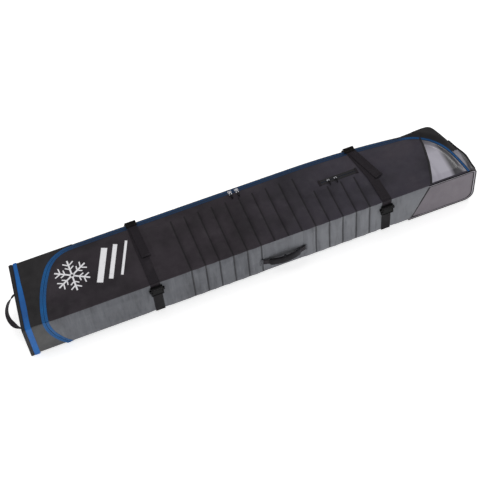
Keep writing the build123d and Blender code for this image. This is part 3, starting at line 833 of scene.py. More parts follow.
def border(shape):
    mask = np.zeros(shape, bool)
    mask[0, :] = mask[-1, :] = mask[:, 0] = mask[:, -1] = True
    return mask


def on_channel(x):
    """True on the mesh columns that lie on a sewn channel."""
    gaps = np.min([np.abs(x - line) for line in CHANNELS], axis=0)
    return gaps < CELL / 4


def puff(x, tall):
    """The swelling between channels that the cut of the cloth leaves room for."""
    swell = np.abs(np.sin(np.pi * (x - CHANNEL_X) / CHANNEL_STEP)) ** 0.6
    return np.where((x > CHANNELS[0]) & (x < CHANNELS[-1]), tall * swell, 0.0)


# ---------------------------------------------------------------- lid


def channel_top(x):
    """How far back the channels run on the lid; they stop short of the pocket."""
    near_pocket = (x > NEAR_POCKET[0]) & (x < NEAR_POCKET[1])
    return np.where(near_pocket, CHANNEL_BACK_NEAR_POCKET, CHANNEL_BACK)


def strap_x(route, y):
    points = np.array(route[::-1], float)
    return np.interp(y, points[:, 1], points[:, 0])


def middle_columns(low_x, high_x):
    first = math.ceil((low_x - CHANNEL_X) / CELL)
    last = math.floor((high_x - CHANNEL_X) / CELL)
    return CHANNEL_X + CELL * np.arange(first, last + 1)


def lid_grid():
    """Columns across the lid, each from the front edge to the zip."""
    line = beside_zip(LID_GAP)
    line = line[line[:, 1] > FRONT_Y + 8]
    middle = middle_columns(-636, 700)
    left = line[(line[:, 0] < middle[0] - 2) & (line[:, 0] < 0), 0]
    right = line[(line[:, 0] > middle[-1] + 2) & (line[:, 0] > 0), 0]
    columns = np.concatenate([left, middle, right])
    back = np.interp(columns, line[:, 0], line[:, 1])
    share = np.linspace(0, 1, 56)
    x = np.repeat(columns[:, None], len(share), axis=1)
    y = FRONT_Y + share[None, :] * (back - FRONT_Y)[:, None]
    return x, y


def lid_shape(x, y):
    """The top of the lid: sewn channels with puffed cloth between, and gentle crowns."""
    sewn = on_channel(x) & (y < channel_top(x) + 0.1)
    edge = from_zip(x, y)
    sink = 3.2 * ease((channel_top(x) - y) / 30) * ease((edge - 4) / 14)
    fade = ease((channel_top(x) + 10 - y) / 40) * ease((edge - 6) / 20)
    z = TOP_Z + puff(x, 5.0) * fade * ease((y - FRONT_Y) / 36)
    z = np.where(on_channel(x), TOP_Z - sink * ease((y - FRONT_Y) / 12), z)
    start = np.stack([x, y, z], axis=2)
    inside_pocket = (np.abs(y - POCKET_Y) < 8) & (x > POCKET_X[0] - 8) & (x < POCKET_X[1] + 8)
    pinned = border(x.shape) | sewn | inside_pocket | (edge < 10)
    moved = simulate(start, pinned, (0, 0, 7), 0.004)
    lift = np.clip(moved[..., 2] - TOP_Z, -4, 5.5)
    free = ease((edge - 12) / 40) * ease((y - FRONT_Y) / 50)
    crown = np.where(x < LEFT_STRAP_X, 2.6, np.where(x > RIGHT_STRAP_X, 5.0, 0.0))
    crown = crown * clear_of(x, LEFT_STRAP_X, 25, 90) * clear_of(x, RIGHT_STRAP_X, 25, 110)
    lift = lift + free * (crown + 1.0 * ripple(x, y, 0 * x, 120))
    pocket = ease(1 - (np.abs(y - POCKET_Y) - 14) / 12)
    pocket *= ease(1 - (np.abs(x - sum(POCKET_X) / 2) - 84) / 14)
    lift = np.where(lift > -0.4, lift * (1 - pocket) - 0.4 * pocket, lift)
    for route, half in ((LEFT_STRAP, 20), (RIGHT_STRAP, 24)):
        beneath = 1 - clear_of(x, strap_x(route, y), half, 22)
        lift = np.minimum(lift, 0.6 + (1 - beneath) * 8)
    for x_tail, end in ((LEFT_TAIL, -25), (RIGHT_TAIL, -34)):
        beneath = (1 - clear_of(x, strap_x(x_tail, y), 20, 22)) * ease((y - end + 30) / 20)
        lift = np.minimum(lift, 0.6 + (1 - beneath) * 8)
    sliders = ease(1 - (np.abs(x - 12) - 30) / 14) * ease((y - 88) / 10)
    lift = np.minimum(lift, 8 - 7.8 * sliders)
    half_travel = (SLIDER_TRAVEL[1] - SLIDER_TRAVEL[0]) / 2
    travel = ease(1 - (np.abs(x - sum(SLIDER_TRAVEL) / 2) - half_travel) / 16)
    travel *= ease((y - 84) / 8)
    lift = np.minimum(lift, 8 - 6.4 * travel)
    side = np.clip(moved - start, -2.5, 2.5)
    return np.stack([x + side[..., 0], y + side[..., 1], TOP_Z + lift], axis=2)


def lid_underside(x, y):
    """The lining side: a thick quilted pad that thins towards the zip and the front edge."""
    edge = np.minimum(from_zip(x, y), (y - FRONT_Y) * 0.9)
    z = 188.2 - 8.2 * ease((edge - 11) / 9)
    quilt = np.abs(np.sin(np.pi * (x - CHANNEL_X) / CHANNEL_STEP)) ** 0.5
    z -= np.where(edge > 20, 0.9 * (quilt - 1), 0)
    inset_y = np.clip(y, FRONT_Y + 0.5, None)
    return np.stack([x, inset_y, z], axis=2)


def patch_x(y):
    """The curved seam across the lid, beyond which it is coated cloth."""
    return np.interp(y, [-156, -120, -55, 20, 95], [727, 742, 764, 779, 790])


def build_lid():
    x, y = lid_grid()
    outer = lid_shape(x, y)
    shape = slab(outer, lid_underside(x, y))
    centres = [np.mean(shape[0][list(face)], axis=0) for face in shape[1]]
    outer_count = (x.shape[0] - 1) * (x.shape[1] - 1)
    marks = []
    for number, centre in enumerate(centres):
        beyond = centre[0] > patch_x(centre[1])
        if outer_count <= number < 2 * outer_count:
            marks.append(2)
        else:
            marks.append(1 if beyond else 0)
    lid = make("lid_shell", shape, [LID_CLOTH, COATED, LINING_CLOTH],
               shade=2, marks=marks)
    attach(lid, "lid")
    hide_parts("lid_panel", "lid_end_patch", "lid_pad", "lid_lining", "pocket_pouch")
    return lid


# ---------------------------------------------------------------- surface lookup


def surface_of(*pieces):
    """A lookup tree of the final shape of some pieces."""
    graph = bpy.context.evaluated_depsgraph_get()
    points, faces, count = [], [], 0
    for piece in pieces:
        mesh = piece.evaluated_get(graph).to_mesh()
        points += [tuple(vertex.co) for vertex in mesh.vertices]
        faces += [[i + count for i in face.vertices] for face in mesh.polygons]
        count = len(points)
    return BVHTree.FromPolygons(points, faces)


def height_at(tree, x, y, fallback=TOP_Z):
    hit = tree.ray_cast(Vector((x * MM, y * MM, 0.4)), Vector((0, 0, -1)))
    return hit[0].z / MM if hit[0] else fallback


def depth_at(tree, x, z, fallback=FRONT_Y):
    hit = tree.ray_cast(Vector((x * MM, -0.4, z * MM)), Vector((0, 1, 0)))
    return hit[0].y / MM if hit[0] else fallback


def lay_on_top(tree, route, half, gap, smooth=3, floor=0):
    """Heights for a strap over the lid: it rests on the highest cloth beneath it."""
    route = respace([(*point[:2], 0) for point in route], 5)
    side = np.cross(tangents(route), (0, 0, 1))
    tall = []
    for point, across in zip(route, side):
        spots = [point + across * half * share for share in (-1, -0.6, -0.2, 0.2, 0.6, 1)]
        tall.append(max(height_at(tree, spot[0], spot[1]) for spot in spots))
    tall = np.maximum(np.array(tall) + gap, floor)
    padded = np.pad(tall, 1, "edge")
    tall = np.maximum(np.maximum(padded[:-2], padded[2:]), tall)
    for _ in range(smooth):
        padded = np.pad(tall, 1, "edge")
        tall = np.maximum((padded[:-2] + 2 * padded[1:-1] + padded[2:]) / 4, tall - 0.15)
    route[:, 2] = tall
    return route


# ---------------------------------------------------------------- walls


def front_span(left_x, right_x, heights, count, middle=None):
    """A grid of x and z on the front face between two boundaries given by height."""
    z = np.asarray(heights, float)
    if middle is None:
        share = np.linspace(0, 1, count)[:, None]
        x = left_x(z)[None, :] * (1 - share) + right_x(z)[None, :] * share
        return x, np.broadcast_to(z, x.shape).copy()
    first = np.linspace(0, 1, count, endpoint=False)[:, None]
    left = left_x(z)[None, :] * (1 - first) + middle[0] * first
    last = np.linspace(1, 0, count, endpoint=False)[::-1][:, None]
    right = middle[-1] * (1 - last) + right_x(z)[None, :] * last
    centre = np.broadcast_to(middle[:, None], (len(middle), len(z)))
    x = np.concatenate([left, centre, right])
    return x, np.broadcast_to(z, x.shape).copy()


def front_slab(name, x, z, bulge, material, slot, *nodes, top=2.5, foot=7.0):
    """A padded panel on the front face. bulge is how far it stands out at each point."""
    rounding = roll_in(TOP_Z - 0.6 - z, top) + roll_in(z, foot)
    outer = np.stack([x, FRONT_Y + rounding - bulge, z], axis=2)
    inner = np.stack([x, np.full_like(x, FRONT_Y + WALL_T), np.clip(z, 3, 187)], axis=2)
    shape = slab(outer, inner)
    count = (x.shape[0] - 1) * (x.shape[1] - 1)
    marks = [1 if count <= i < 2 * count else 0 for i in range(len(shape[1]))]
    piece = make(name, shape, [material, LINING_CLOTH], "tub", shade=2, marks=marks)
    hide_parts(*nodes)
    return piece


def gusset_masks(x, z):
    """Where the front may not swell: under straps and buckles, and behind the handle."""
    free = clear_of(x, LEFT_STRAP_X, 22, 30) * clear_of(x, RIGHT_STRAP_X, 22, 30)
    middle = sum(HANDLE_ZONE) / 2
    half = (HANDLE_ZONE[1] - HANDLE_ZONE[0]) / 2
    return free * (0.12 + 0.88 * clear_of(x, middle, half - 4, 14))


def build_front():
    heights = np.linspace(1.0, TOP_Z - 1.2, 40)
    columns = middle_columns(-700, 600)
    x, z = front_span(lambda h: zip_x_on_front(h) + 3, lambda h: seam_x_on_front(h) - 1,
                      heights, 16, columns)
    quiet = (x > HANDLE_ZONE[0] - 3) & (x < HANDLE_ZONE[1] + 3)
    edge_line = (np.abs(x - HANDLE_ZONE[0]) < CELL / 2) | (np.abs(x - HANDLE_ZONE[1]) < CELL / 2)
    sewn = (on_channel(x) & ~quiet) | edge_line
    sewn &= (x > CHANNELS[0] - 3) & (x < RIGHT_STRAP_X - 10)
    fade = ease(z / 34) * ease((TOP_Z - z) / 28)
    swell = puff(x, 6.0) * clear_of(x, sum(HANDLE_ZONE) / 2, 81, 4)
    swell += 1.1 * ripple(x * 5.5, 0 * x, z * 0.5, 60, 8.0)
    start = np.stack([x, FRONT_Y + np.where(sewn, 2.8, -swell) * fade, z], axis=2)
    under = (np.abs(x - LEFT_STRAP_X) < 15) | (np.abs(x - RIGHT_STRAP_X) < 15)
    pinned = border(x.shape) | sewn | under
    moved = simulate(start, pinned, (0, -7, 0), 0.005)
    bulge = FRONT_Y - moved[..., 1]
    bulge = np.clip(bulge, -4, 7)
    free = gusset_masks(x, z)
    bulge = np.where(bulge > 0, bulge * free, bulge * np.maximum(free, 0.5))
    fold_light_and_shade = ripple(x * 3.0, 0 * x, z * 0.6, 70, 3.1)
    bulge += free * fade * 0.9 * fold_light_and_shade
    sag = ease(1 - (z - 10) / 90) * (1 - free * 0.2)
    bulge += 1.2 * free * sag
    gusset = front_slab("front_gusset_quilted", x, z, bulge, GREY_CLOTH, "grey_fabric",
                        "front_gusset")

    x, z = front_span(lambda h: seam_x_on_front(h) + 1, lambda h: RIGHT_X - 2.5 - roll_in(
        h, CORNER_R) - roll_in(TOP_Z - h, TOP_CORNER_R), heights, 56)
    bulge = 2.4 * ease((x - seam_x_on_front(z)) / 60) * ease((RIGHT_X - x) / 50) * fade_to(z)
    bulge += 0.7 * ripple(x, 0 * x, z, 55, 9.0) * fade_to(z)
    patch = front_slab("front_end_patch_padded", x, z, bulge, PATCH_CLOTH, "grey_fabric",
                       "front_end_patch")

    x, z = front_span(lambda h: LEFT_X + 2.5 + 0 * h, lambda h: zip_x_on_front(h) - 3, heights,
                      26)
    bulge = (1.2 + 0.8 * ripple(x, 0 * x, z, 45, 5.0)) * fade_to(z)
    corner = front_slab("front_corner_padded", x, z, bulge, CORNER_CLOTH, "grey_fabric",
                        "front_corner_panel", top=2.0)
    return gusset, patch, corner


def fade_to(z):
    return ease(z / 14) * ease((TOP_Z - z) / 14)


def end_top(plan):
    """Radius of the top edge round the right end: wide by the front, small further back."""
    return 8.5 + (TOP_CORNER_R - 8.5) * ease((-70 - plan[:, 1]) / 90)


def wall(name, start, end, step, top_r, foot_r, bulge, material, slot, *nodes):
    """A padded wall along the rim between two places in plan."""
    length = abs(rim_index(*end) - rim_index(*start)) % len(RIM) * 2
    if rim_index(*end) <= rim_index(*start):
        length = (len(RIM) - rim_index(*start) + rim_index(*end)) * 2
    plan, inward = rim_span(start, end, max(8, int(length / step)))
    heights = np.linspace(0, 1, 34)
    top = (top_r(plan) if callable(top_r) else np.full(len(plan), top_r))[:, None]
    z = 0.3 * foot_edge(foot_r) + heights * (TOP_Z - 0.293 * top - 0.3 * foot_edge(foot_r))
    foot = foot_r(plan) if callable(foot_r) else np.full(len(plan), foot_r)
    rounding = roll_in(TOP_Z - z, top) + roll_in(z, foot[:, None])
    x = np.broadcast_to(plan[:, :1], z.shape)
    y = np.broadcast_to(plan[:, 1:], z.shape)
    out = bulge(x, y, z) * ease(z / 16) * ease((TOP_Z - 2 - z) / 16) - rounding
    outer = np.stack([x - inward[:, :1] * out, y - inward[:, 1:] * out, z], axis=2)
    inner_z = np.clip(z, 3, 186.5)
    reach = np.maximum(WALL_T, roll_in(inner_z, foot[:, None]) + 4)
    inner = np.stack([x + inward[:, :1] * reach, y + inward[:, 1:] * reach, inner_z], axis=2)
    shape = slab(outer, inner)
    count = (z.shape[0] - 1) * (z.shape[1] - 1)
    marks = [1 if count <= i < 2 * count else 0 for i in range(len(shape[1]))]
    piece = make(name, shape, [material, LINING_CLOTH], "tub", shade=2, marks=marks)
    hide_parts(*nodes)
    return piece


def foot_edge(foot_r):
    return 1.0 if callable(foot_r) else min(foot_r, 8) / 8


def build_walls():
    def plain(x, y, z):
        return 2.2 + 1.2 * ripple(x, y, z, 70, 2.0)

    def nearly_flat(x, y, z):
        return 0.8 + 0.4 * ripple(x, y, z, 70, 2.0)

    def quilted(x, y, z):
        swell = np.abs(np.sin(np.pi * (x - CHANNEL_X) / CHANNEL_STEP)) ** 0.55
        channelled = (x > CHANNELS[0]) & (x < CHANNELS[-1])
        calm = clear_of(x, BACK_BUCKLES[0][0], 24, 26) * clear_of(x, BACK_BUCKLES[1][0], 24, 26)
        body = np.where(channelled, 5.2 * swell - 2.4, 1.6) + 0.9 * ripple(x, y, z * 0.5, 42, 7.0)
        return np.where(body > 0, body * calm, body * np.maximum(calm, 0.3))

    def foot(plan):
        return 6 + (CORNER_R - 6) * ease((plan[:, 0] - 800) / 40)

    back_left = (LEFT_X + END_LEAN, BACK_Y)
    wall("right_end_padded", (RIGHT_X, FRONT_Y), BACK_RIGHT, 6, end_top, CORNER_R, plain,
         BLACK_CLOTH, "black_fabric", "right_end_panel", "end_pads")
    back = wall("back_gusset_quilted", BACK_RIGHT, back_left, CELL, 8, foot, quilted,
                BLACK_CLOTH, "black_fabric", "back_gusset", "side_pads")
    wall("left_end_padded", back_left, (LEFT_X, FRONT_Y), 6, 3, 3, nearly_flat,
         BLACK_CLOTH, "black_fabric", "left_end_panel")
    return back


def top_panel(name, zip_part, rim_starts, counts, bulge, materials, node, drop, top_r):
    """A padded panel between the zip and the rim. rim_starts are the rim's corners in turn."""
    inner_line = respace(np.c_[zip_part, np.zeros(len(zip_part))], 1)
    total = sum(counts) + 1
    at = np.linspace(0, len(inner_line) - 1, total)
    near = np.stack([np.interp(at, np.arange(len(inner_line)), inner_line[:, k])
                     for k in range(2)], axis=1)
    outer_points, outer_in = [], []
    for start, end, count in zip(rim_starts, rim_starts[1:], counts):
        first, last = rim_index(*start), rim_index(*end)
        last += len(RIM) * round((first - last) / len(RIM))
        at = np.linspace(first, last, count, endpoint=False)
        outer_points.append(RIM[np.round(at).astype(int) % len(RIM)])
        outer_in.append(RIM_IN[np.round(at).astype(int) % len(RIM)])
    outer_points.append(RIM[[rim_index(*rim_starts[-1])]])
    outer_in.append(RIM_IN[[rim_index(*rim_starts[-1])]])
    rim = np.concatenate(outer_points)
    top = (top_r(rim) if callable(top_r) else np.full(len(rim), top_r))[:, None]
    far = rim + np.concatenate(outer_in) * 0.293 * top
    share = np.linspace(0, 1, 22) ** 0.9
    x = near[:, :1] * (1 - share) + far[:, :1] * share
    y = near[:, 1:] * (1 - share) + far[:, 1:] * share
    gap = np.linalg.norm(far - near, axis=1)[:, None]
    to_rim = (1 - share) * gap + 0.293 * top
    to_zip = share * gap
    room = ease(to_rim / 22) * ease(to_zip / 16)
    z = TOP_Z - roll_in(to_rim, top) + bulge(x, y) * room
    outer = np.stack([x, y, z], axis=2)
    inner = np.stack([x, y, z - drop], axis=2)
    shape = slab(outer, inner)
    centres = [np.mean(shape[0][list(face)], axis=0) for face in shape[1]]
    marks = None
    if len(materials) > 1:
        marks = [1 if centre[1] < COATED_BACK else 0 for centre in centres]
    piece = make(name, shape, materials, "tub", shade=2, marks=marks)
    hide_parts(node)
    return piece


def build_top_panels():
    line = beside_zip(-LID_GAP)
    left = line[line[:, 0] < -640]
    right = line[(line[:, 0] > 700)]

    def gentle(x, y):
        return 2.0 + 1.2 * ripple(x, y, 0 * x, 60, 4.0)

    def hump(x, y):
        far = ease((y + 25) / 80) * ease((x - 715) / 60)
        near = ease((y + 135) / 30) * ease((-30 - y) / 40)
        return 2.5 + 17 * far + 6 * near + 1.6 * ripple(x, y, 0 * x, 48, 6.0)

    def flat(x, y):
        return 0 * x

    strip = line[(line[:, 0] >= left[-1][0] - 4) & (line[:, 0] <= right[0][0] + 4)]
    rim_left = [(LEFT_X, FRONT_Y), (LEFT_X + END_LEAN, BACK_Y), (left[-1][0], BACK_Y)]
    rim_right = [(right[0][0], 117), BACK_RIGHT, (RIGHT_X, FRONT_Y)]
    rim_back = [(strip[0][0], BACK_Y), (TAPER_START, BACK_Y), (strip[-1][0], 116)]
    black, both = [BLACK_CLOTH], [BLACK_CLOTH, COATED]
    return [top_panel("left_top_padded", left, rim_left, [44, 24], gentle, black,
                      "left_top_panel", 3, 3),
            top_panel("right_top_padded", right, rim_right, [20, 40], hump, both,
                      "right_top_panel", 3, end_top),
            top_panel("back_top_fold", strip, rim_back, [150, 80], flat, black,
                      "back_gusset", 2, 8)]


def plan_rows(inset, step):
    """Columns across the bag inside its outline: x, and the y limits at each."""
    x = np.arange(LEFT_X + inset + 4, RIGHT_X - inset - 3, step)
    front = np.full_like(x, FRONT_Y + inset)
    upper = [p for p in RIM if p[1] > FRONT_Y + 12]
    upper = np.array(sorted(upper, key=lambda p: p[0]))
    back = np.interp(x, upper[:, 0], upper[:, 1]) - inset
    return x, front, np.maximum(back, front + 2)


def build_base():
    """The base cloth beneath, and the quilted floor and the lining inside."""
    x, front, back = plan_rows(5, 12)
    share = np.linspace(0, 1, 26)
    grid_x = np.repeat(x[:, None], len(share), axis=1)
    grid_y = front[:, None] * (1 - share) + back[:, None] * share
    lift = np.where(x > RIGHT_X - CORNER_R, roll_in(RIGHT_X - x, CORNER_R), 0)[:, None]
    z = 0.1 + lift + 0.25 * (1 + ripple(grid_x, grid_y, 0 * grid_x, 60))
    under = np.stack([grid_x, grid_y, z], axis=2)
    over = np.stack([grid_x, grid_y, z + 2], axis=2)
    base = make("base_cloth_panel", slab(under, over), BASE_CLOTH, "tub",
                shade=2)
    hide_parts("base_panel", "base_stiffener")
    x, front, back = plan_rows(10, 6)
    keep = x < RIGHT_X - CORNER_R - 4
    x, front, back = x[keep], front[keep], back[keep]
    grid_x = np.repeat(x[:, None], len(share), axis=1)
    grid_y = front[:, None] * (1 - share) + back[:, None] * share
    quilt = np.abs(np.sin(np.pi * (grid_x - CHANNEL_X) / (2 * CHANNEL_STEP))) ** 0.4
    top = np.stack([grid_x, grid_y, 10.6 + 3 * quilt], axis=2)
    bottom = np.stack([grid_x, grid_y, np.full_like(grid_x, 4)], axis=2)
    floor = make("inner_floor_quilted", slab(top, bottom), LINING_CLOTH, "tub",
                 shade=2)
    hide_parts("base_pad", "lining")


# ---------------------------------------------------------------- zip


def edge_band(name, line, normal, offsets, lift, gap, thick, material, body):
    """A flat tape beside a line: lift(x, y) tells its resting height at plan points."""
    offsets = np.broadcast_to(np.asarray(offsets, float), (len(line), len(offsets[0])))
    x = line[:, :1] + normal[:, :1] * offsets
    y = line[:, 1:2] + normal[:, 1:2] * offsets
    rest = np.array([[lift(a, b) for a, b in zip(row_x, row_y)] for row_x, row_y in zip(x, y)])
    edge = np.minimum(np.abs(offsets - offsets[:, :1]), np.abs(offsets - offsets[:, -1:]))
    rise = gap + thick * (0.45 + 0.55 * ease(edge / 0.8))
    top = np.stack([x, y, rest + rise], axis=2)
    bottom = np.stack([x, y, rest + gap * 0.4], axis=2)
    lengths = np.r_[0, np.cumsum(np.linalg.norm(np.diff(line, axis=0), axis=1))]
    along = np.stack(np.broadcast_arrays(lengths[:, None], offsets), axis=2)
    along = np.concatenate([along.reshape(-1, 2)] * 2)
    return make(name, slab(top, bottom), material, body, along=along)


def zip_normal(line=ZIP_LINE):
    return np.stack([np.sin(line[:, 2]), -np.cos(line[:, 2])], axis=1)


def tape_reach(x):
    """How much tape shows each side of the zip: less along the back, least at the right end."""
    return 12 - 3.5 * ease((x + 800) / 120) - 3 * ease((x - 640) / 90)


def build_main_zip(top_tree):
    """Both tapes of the main zip, its coils, and the sewing along each tape."""
    line, normal = ZIP_LINE[:, :2], zip_normal()
    reach = tape_reach(line[:, 0])[:, None]
    shares = np.array([0.05, 0.09, 0.2, 0.37, 0.57, 0.77, 0.88, 0.97, 1.0])

    def rest(x, y):
        return max(height_at(top_tree, x, max(y, FRONT_Y + 2)), TOP_Z - 0.1)

    nodes = {1: ("lid", "zipper_tape_lid", "zipper_coil_lid"),
             -1: ("tub", "zipper_tape_body", "zipper_coil_body")}
    for side, (body, tape_node, coil_node) in nodes.items():
        tape = edge_band(f"zip_tape_{body}", line, normal, side * reach * shares, rest,
                         0.15, 1.0, BLUE, body)
        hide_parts(tape_node)
        route = np.c_[line + normal * side * 2.0, np.full(len(line), TOP_Z - 1.0)]
        route = respace(route, 1.5)
        size = 1.35 + 0.35 * np.cos(np.arange(len(route)) * math.pi)
        coil = make(f"zip_coil_{body}", tube(route, size, 6), COIL, body)
        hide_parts(coil_node)
        for name, share in (("inner", 0.5), ("outer", 0.87)):
            seam = line + normal * side * reach * share
            seam = np.array([(x, y, rest(x, y) + 1.25) for x, y in seam])
            make(f"zip_seam_{body}_{name}", stitches(seam[2:-2], (0, 0, 1), 6.5),
                 BLUE_THREAD, body)


def front_run(offset, count=64):
    """The zip's line down the front, moved towards the gusset by an offset, in x and z."""
    turn = np.linspace(-0.008, math.radians(39.3), count)
    radius = FRONT_RUN_R - offset
    centre_x = ZIP_START[0] + FRONT_RUN_R
    x = centre_x - radius * np.cos(turn)
    z = TOP_Z - radius * np.sin(turn)
    return x, z


def build_front_zip(front_tree):
    """The zip's fixed run down the front face to the ground."""
    for side, name in ((1, "inner"), (-1, "outer")):
        tops, bottoms, along = [], [], []
        offsets = [0.8, 1.3, 3.4, 6.4, 9.4, 11.0, 11.7, 12.0]
        for rank, offset in enumerate(offsets):
            x, z = front_run(side * offset)
            z = np.clip(z, 0.3, TOP_Z - 2.2 if side > 0 else TOP_Z + 1.2)
            rest = np.array([min(depth_at(front_tree, a, min(max(c, 4), TOP_Z - 4)), FRONT_Y)
                             for a, c in zip(x, z)])
            edge = min(offset - offsets[0], offsets[-1] - offset)
            rise = 0.2 + 1.0 * (0.45 + 0.55 * float(ease(edge / 0.8)))
            tops.append(np.stack([x, rest - rise, z], axis=1))
            bottoms.append(np.stack([x, rest - 0.05, z], axis=1))
            arc = FRONT_RUN_R * np.linspace(0, math.radians(39.4), len(x))
            along.append(np.stack([arc, np.full(len(x), offset)], axis=1))
        tape = make(f"zip_tape_front_{name}", slab(np.array(tops), np.array(bottoms)), BLUE,
                    "tub", along=np.concatenate([np.concatenate(along)] * 2))
        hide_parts("zipper_tape_front")
        for reach in (6.0, 10.5):
            x, z = front_run(side * reach)
            seam = [(a, min(depth_at(front_tree, a, min(max(c, 4), TOP_Z - 4)), FRONT_Y) - 1.3, c)
                    for a, c in zip(x, z) if 2 < c < TOP_Z - 3]
            make(f"zip_seam_front_{name}_{reach:.0f}", stitches(seam, (0, -1, 0), 6.5),
                 BLUE_THREAD, "tub")
    x, z = front_run(0, 200)
    route = [(a, FRONT_Y - 0.3, c) for a, c in zip(x, z) if 1.5 < c < TOP_Z]
    size = 1.0 + 0.25 * np.cos(np.arange(len(route)) * math.pi)
    make("zip_coil_front", tube(route, size, 6), COIL, "tub")


def build_pocket(lid_tree):
    """The pocket's black zip: two tapes, a coil between them, end stops and stitching."""
    ends = (POCKET_X[0] - 6, POCKET_X[1] + 6)
    x = np.arange(ends[0], ends[1] + 1, 6.0)
    line = np.c_[x, np.full(len(x), POCKET_Y)]
    normal = np.tile([0.0, 1.0], (len(x), 1))

    def rest(a, b):
        return min(height_at(lid_tree, a, b), TOP_Z - 0.15)

    for side, name in ((1, "back"), (-1, "front")):
        offsets = side * np.array([[0.7, 1.2, 4, 8, 10.6, 11.6, 12.0]])
        tape = edge_band(f"pocket_tape_{name}", line, normal, offsets, rest, 0.1, 0.8,
                         BLACK_TAPE, "lid")
        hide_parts("pocket_zipper_tape")
        seam = [(a, POCKET_Y + side * 9.5, TOP_Z + 0.85) for a in x]
        make(f"pocket_seam_{name}", stitches(seam, (0, 0, 1), 5), THREAD, "lid")
    route = respace([(POCKET_X[0], POCKET_Y, TOP_Z - 0.4), (POCKET_X[1], POCKET_Y, TOP_Z - 0.4)],
                    1.2)
    size = 0.9 + 0.25 * np.cos(np.arange(len(route)) * math.pi)
    coil = make("pocket_coil", tube(route, size, 6), COIL, "lid")
    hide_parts("pocket_zipper_coil")
    for name, at in (("left", POCKET_X[0] - 3), ("right", POCKET_X[1] + 2)):
        stop = [(at, POCKET_Y - 13, TOP_Z + 0.5), (at, POCKET_Y + 13, TOP_Z + 0.5)]
        strap(f"pocket_stop_{name}", respace(stop, 2), (0, 0, 1), 9, 1.6, WEBBING, "lid")


# ---------------------------------------------------------------- edging


def end_route(inward, gap):
    """Round the left end at a distance in from it: up the front, over the top, down the back."""
    left = LEFT_X + inward
    corners = [(left, FRONT_Y - gap, 0.4), (left, FRONT_Y - gap, TOP_Z + gap),
               (left + END_LEAN, BACK_Y + gap, TOP_Z + gap), (left + END_LEAN, BACK_Y + gap, 0.4)]
    route = rounded(corners, 3, 3)
    middle = Vector((left + END_LEAN / 2, (FRONT_Y + BACK_Y) / 2, 0))
    up = np.zeros_like(route)
    high_up = ease((route[:, 2] - (TOP_Z - 4)) / 6)
    up[:, 1] = np.sign(route[:, 1] - middle.y) * (1 - high_up)
    near_edge = np.abs(route[:, 1] - middle.y) > (BACK_Y - FRONT_Y) / 2 - 3
    up[:, 2] = np.where(near_edge, high_up, 1)
    up[:, 1] = np.where(near_edge, np.sign(route[:, 1] - middle.y) * (1 - 0.6 * high_up), 0)
    return route, up


def build_left_edging():
    """Black binding and the bright raised band at the left end."""
    route, up = end_route(5.5, 0.2)
    binding = strap("left_end_binding_tape", route, up, 11.5, 2.4, BLACK_TAPE, "tub",
                    CROWNED)
    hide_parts("left_end_binding")
    route, up = end_route(22.5, 0.2)
    swell = 3.4
    taper = 23.5 - 8 * ease((route[:, 1] + 60) / 200)
    band = strap("left_end_blue_band", route, up, taper, swell, BLUE_BAND, "tub",
                 CROWNED)
    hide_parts("left_end_piping")
    for inward, rise in ((12.6, 2.1), (33.4, 1.5)):
        route, up = end_route(inward, rise)
        make(f"left_end_seam_{inward:.0f}", stitches(route[2:-2], up[2:-2], 6), BLUE_THREAD,
             "tub")
    left_line = [(LEFT_X - 0.4, FRONT_Y - 0.6, 0.8), (LEFT_X - 0.4, FRONT_Y - 0.6, TOP_Z + 0.6),
                 (LEFT_X + END_LEAN - 0.4, BACK_Y + 0.6, TOP_Z + 0.6),
                 (LEFT_X + END_LEAN - 0.4, BACK_Y + 0.6, 0.8)]
    make("left_end_cord", tube(rounded(left_line, 4, 3), 2.2, 10), BLACK_TAPE, "tub")


def end_frame(inset, y):
    """Round the end of the front face: along the top, down, round the corner, back below."""
    right = RIGHT_X - inset
    top = TOP_Z - 1 - inset
    radius = CORNER_R - inset
    foot = inset
    bend = TOP_CORNER_R - inset
    points = [(720, y, top)]
    for step in range(9):
        angle = math.radians(90 - 11.25 * step)
        points.append((right - bend + bend * math.cos(angle), y,
                       top - bend + bend * math.sin(angle)))
    for step in range(13):
        angle = math.radians(-7.5 * step)
        points.append((right - radius + radius * math.cos(angle), y,
                       foot + radius + radius * math.sin(angle)))
    points.append((640, y, foot))
    return respace(points, 4)


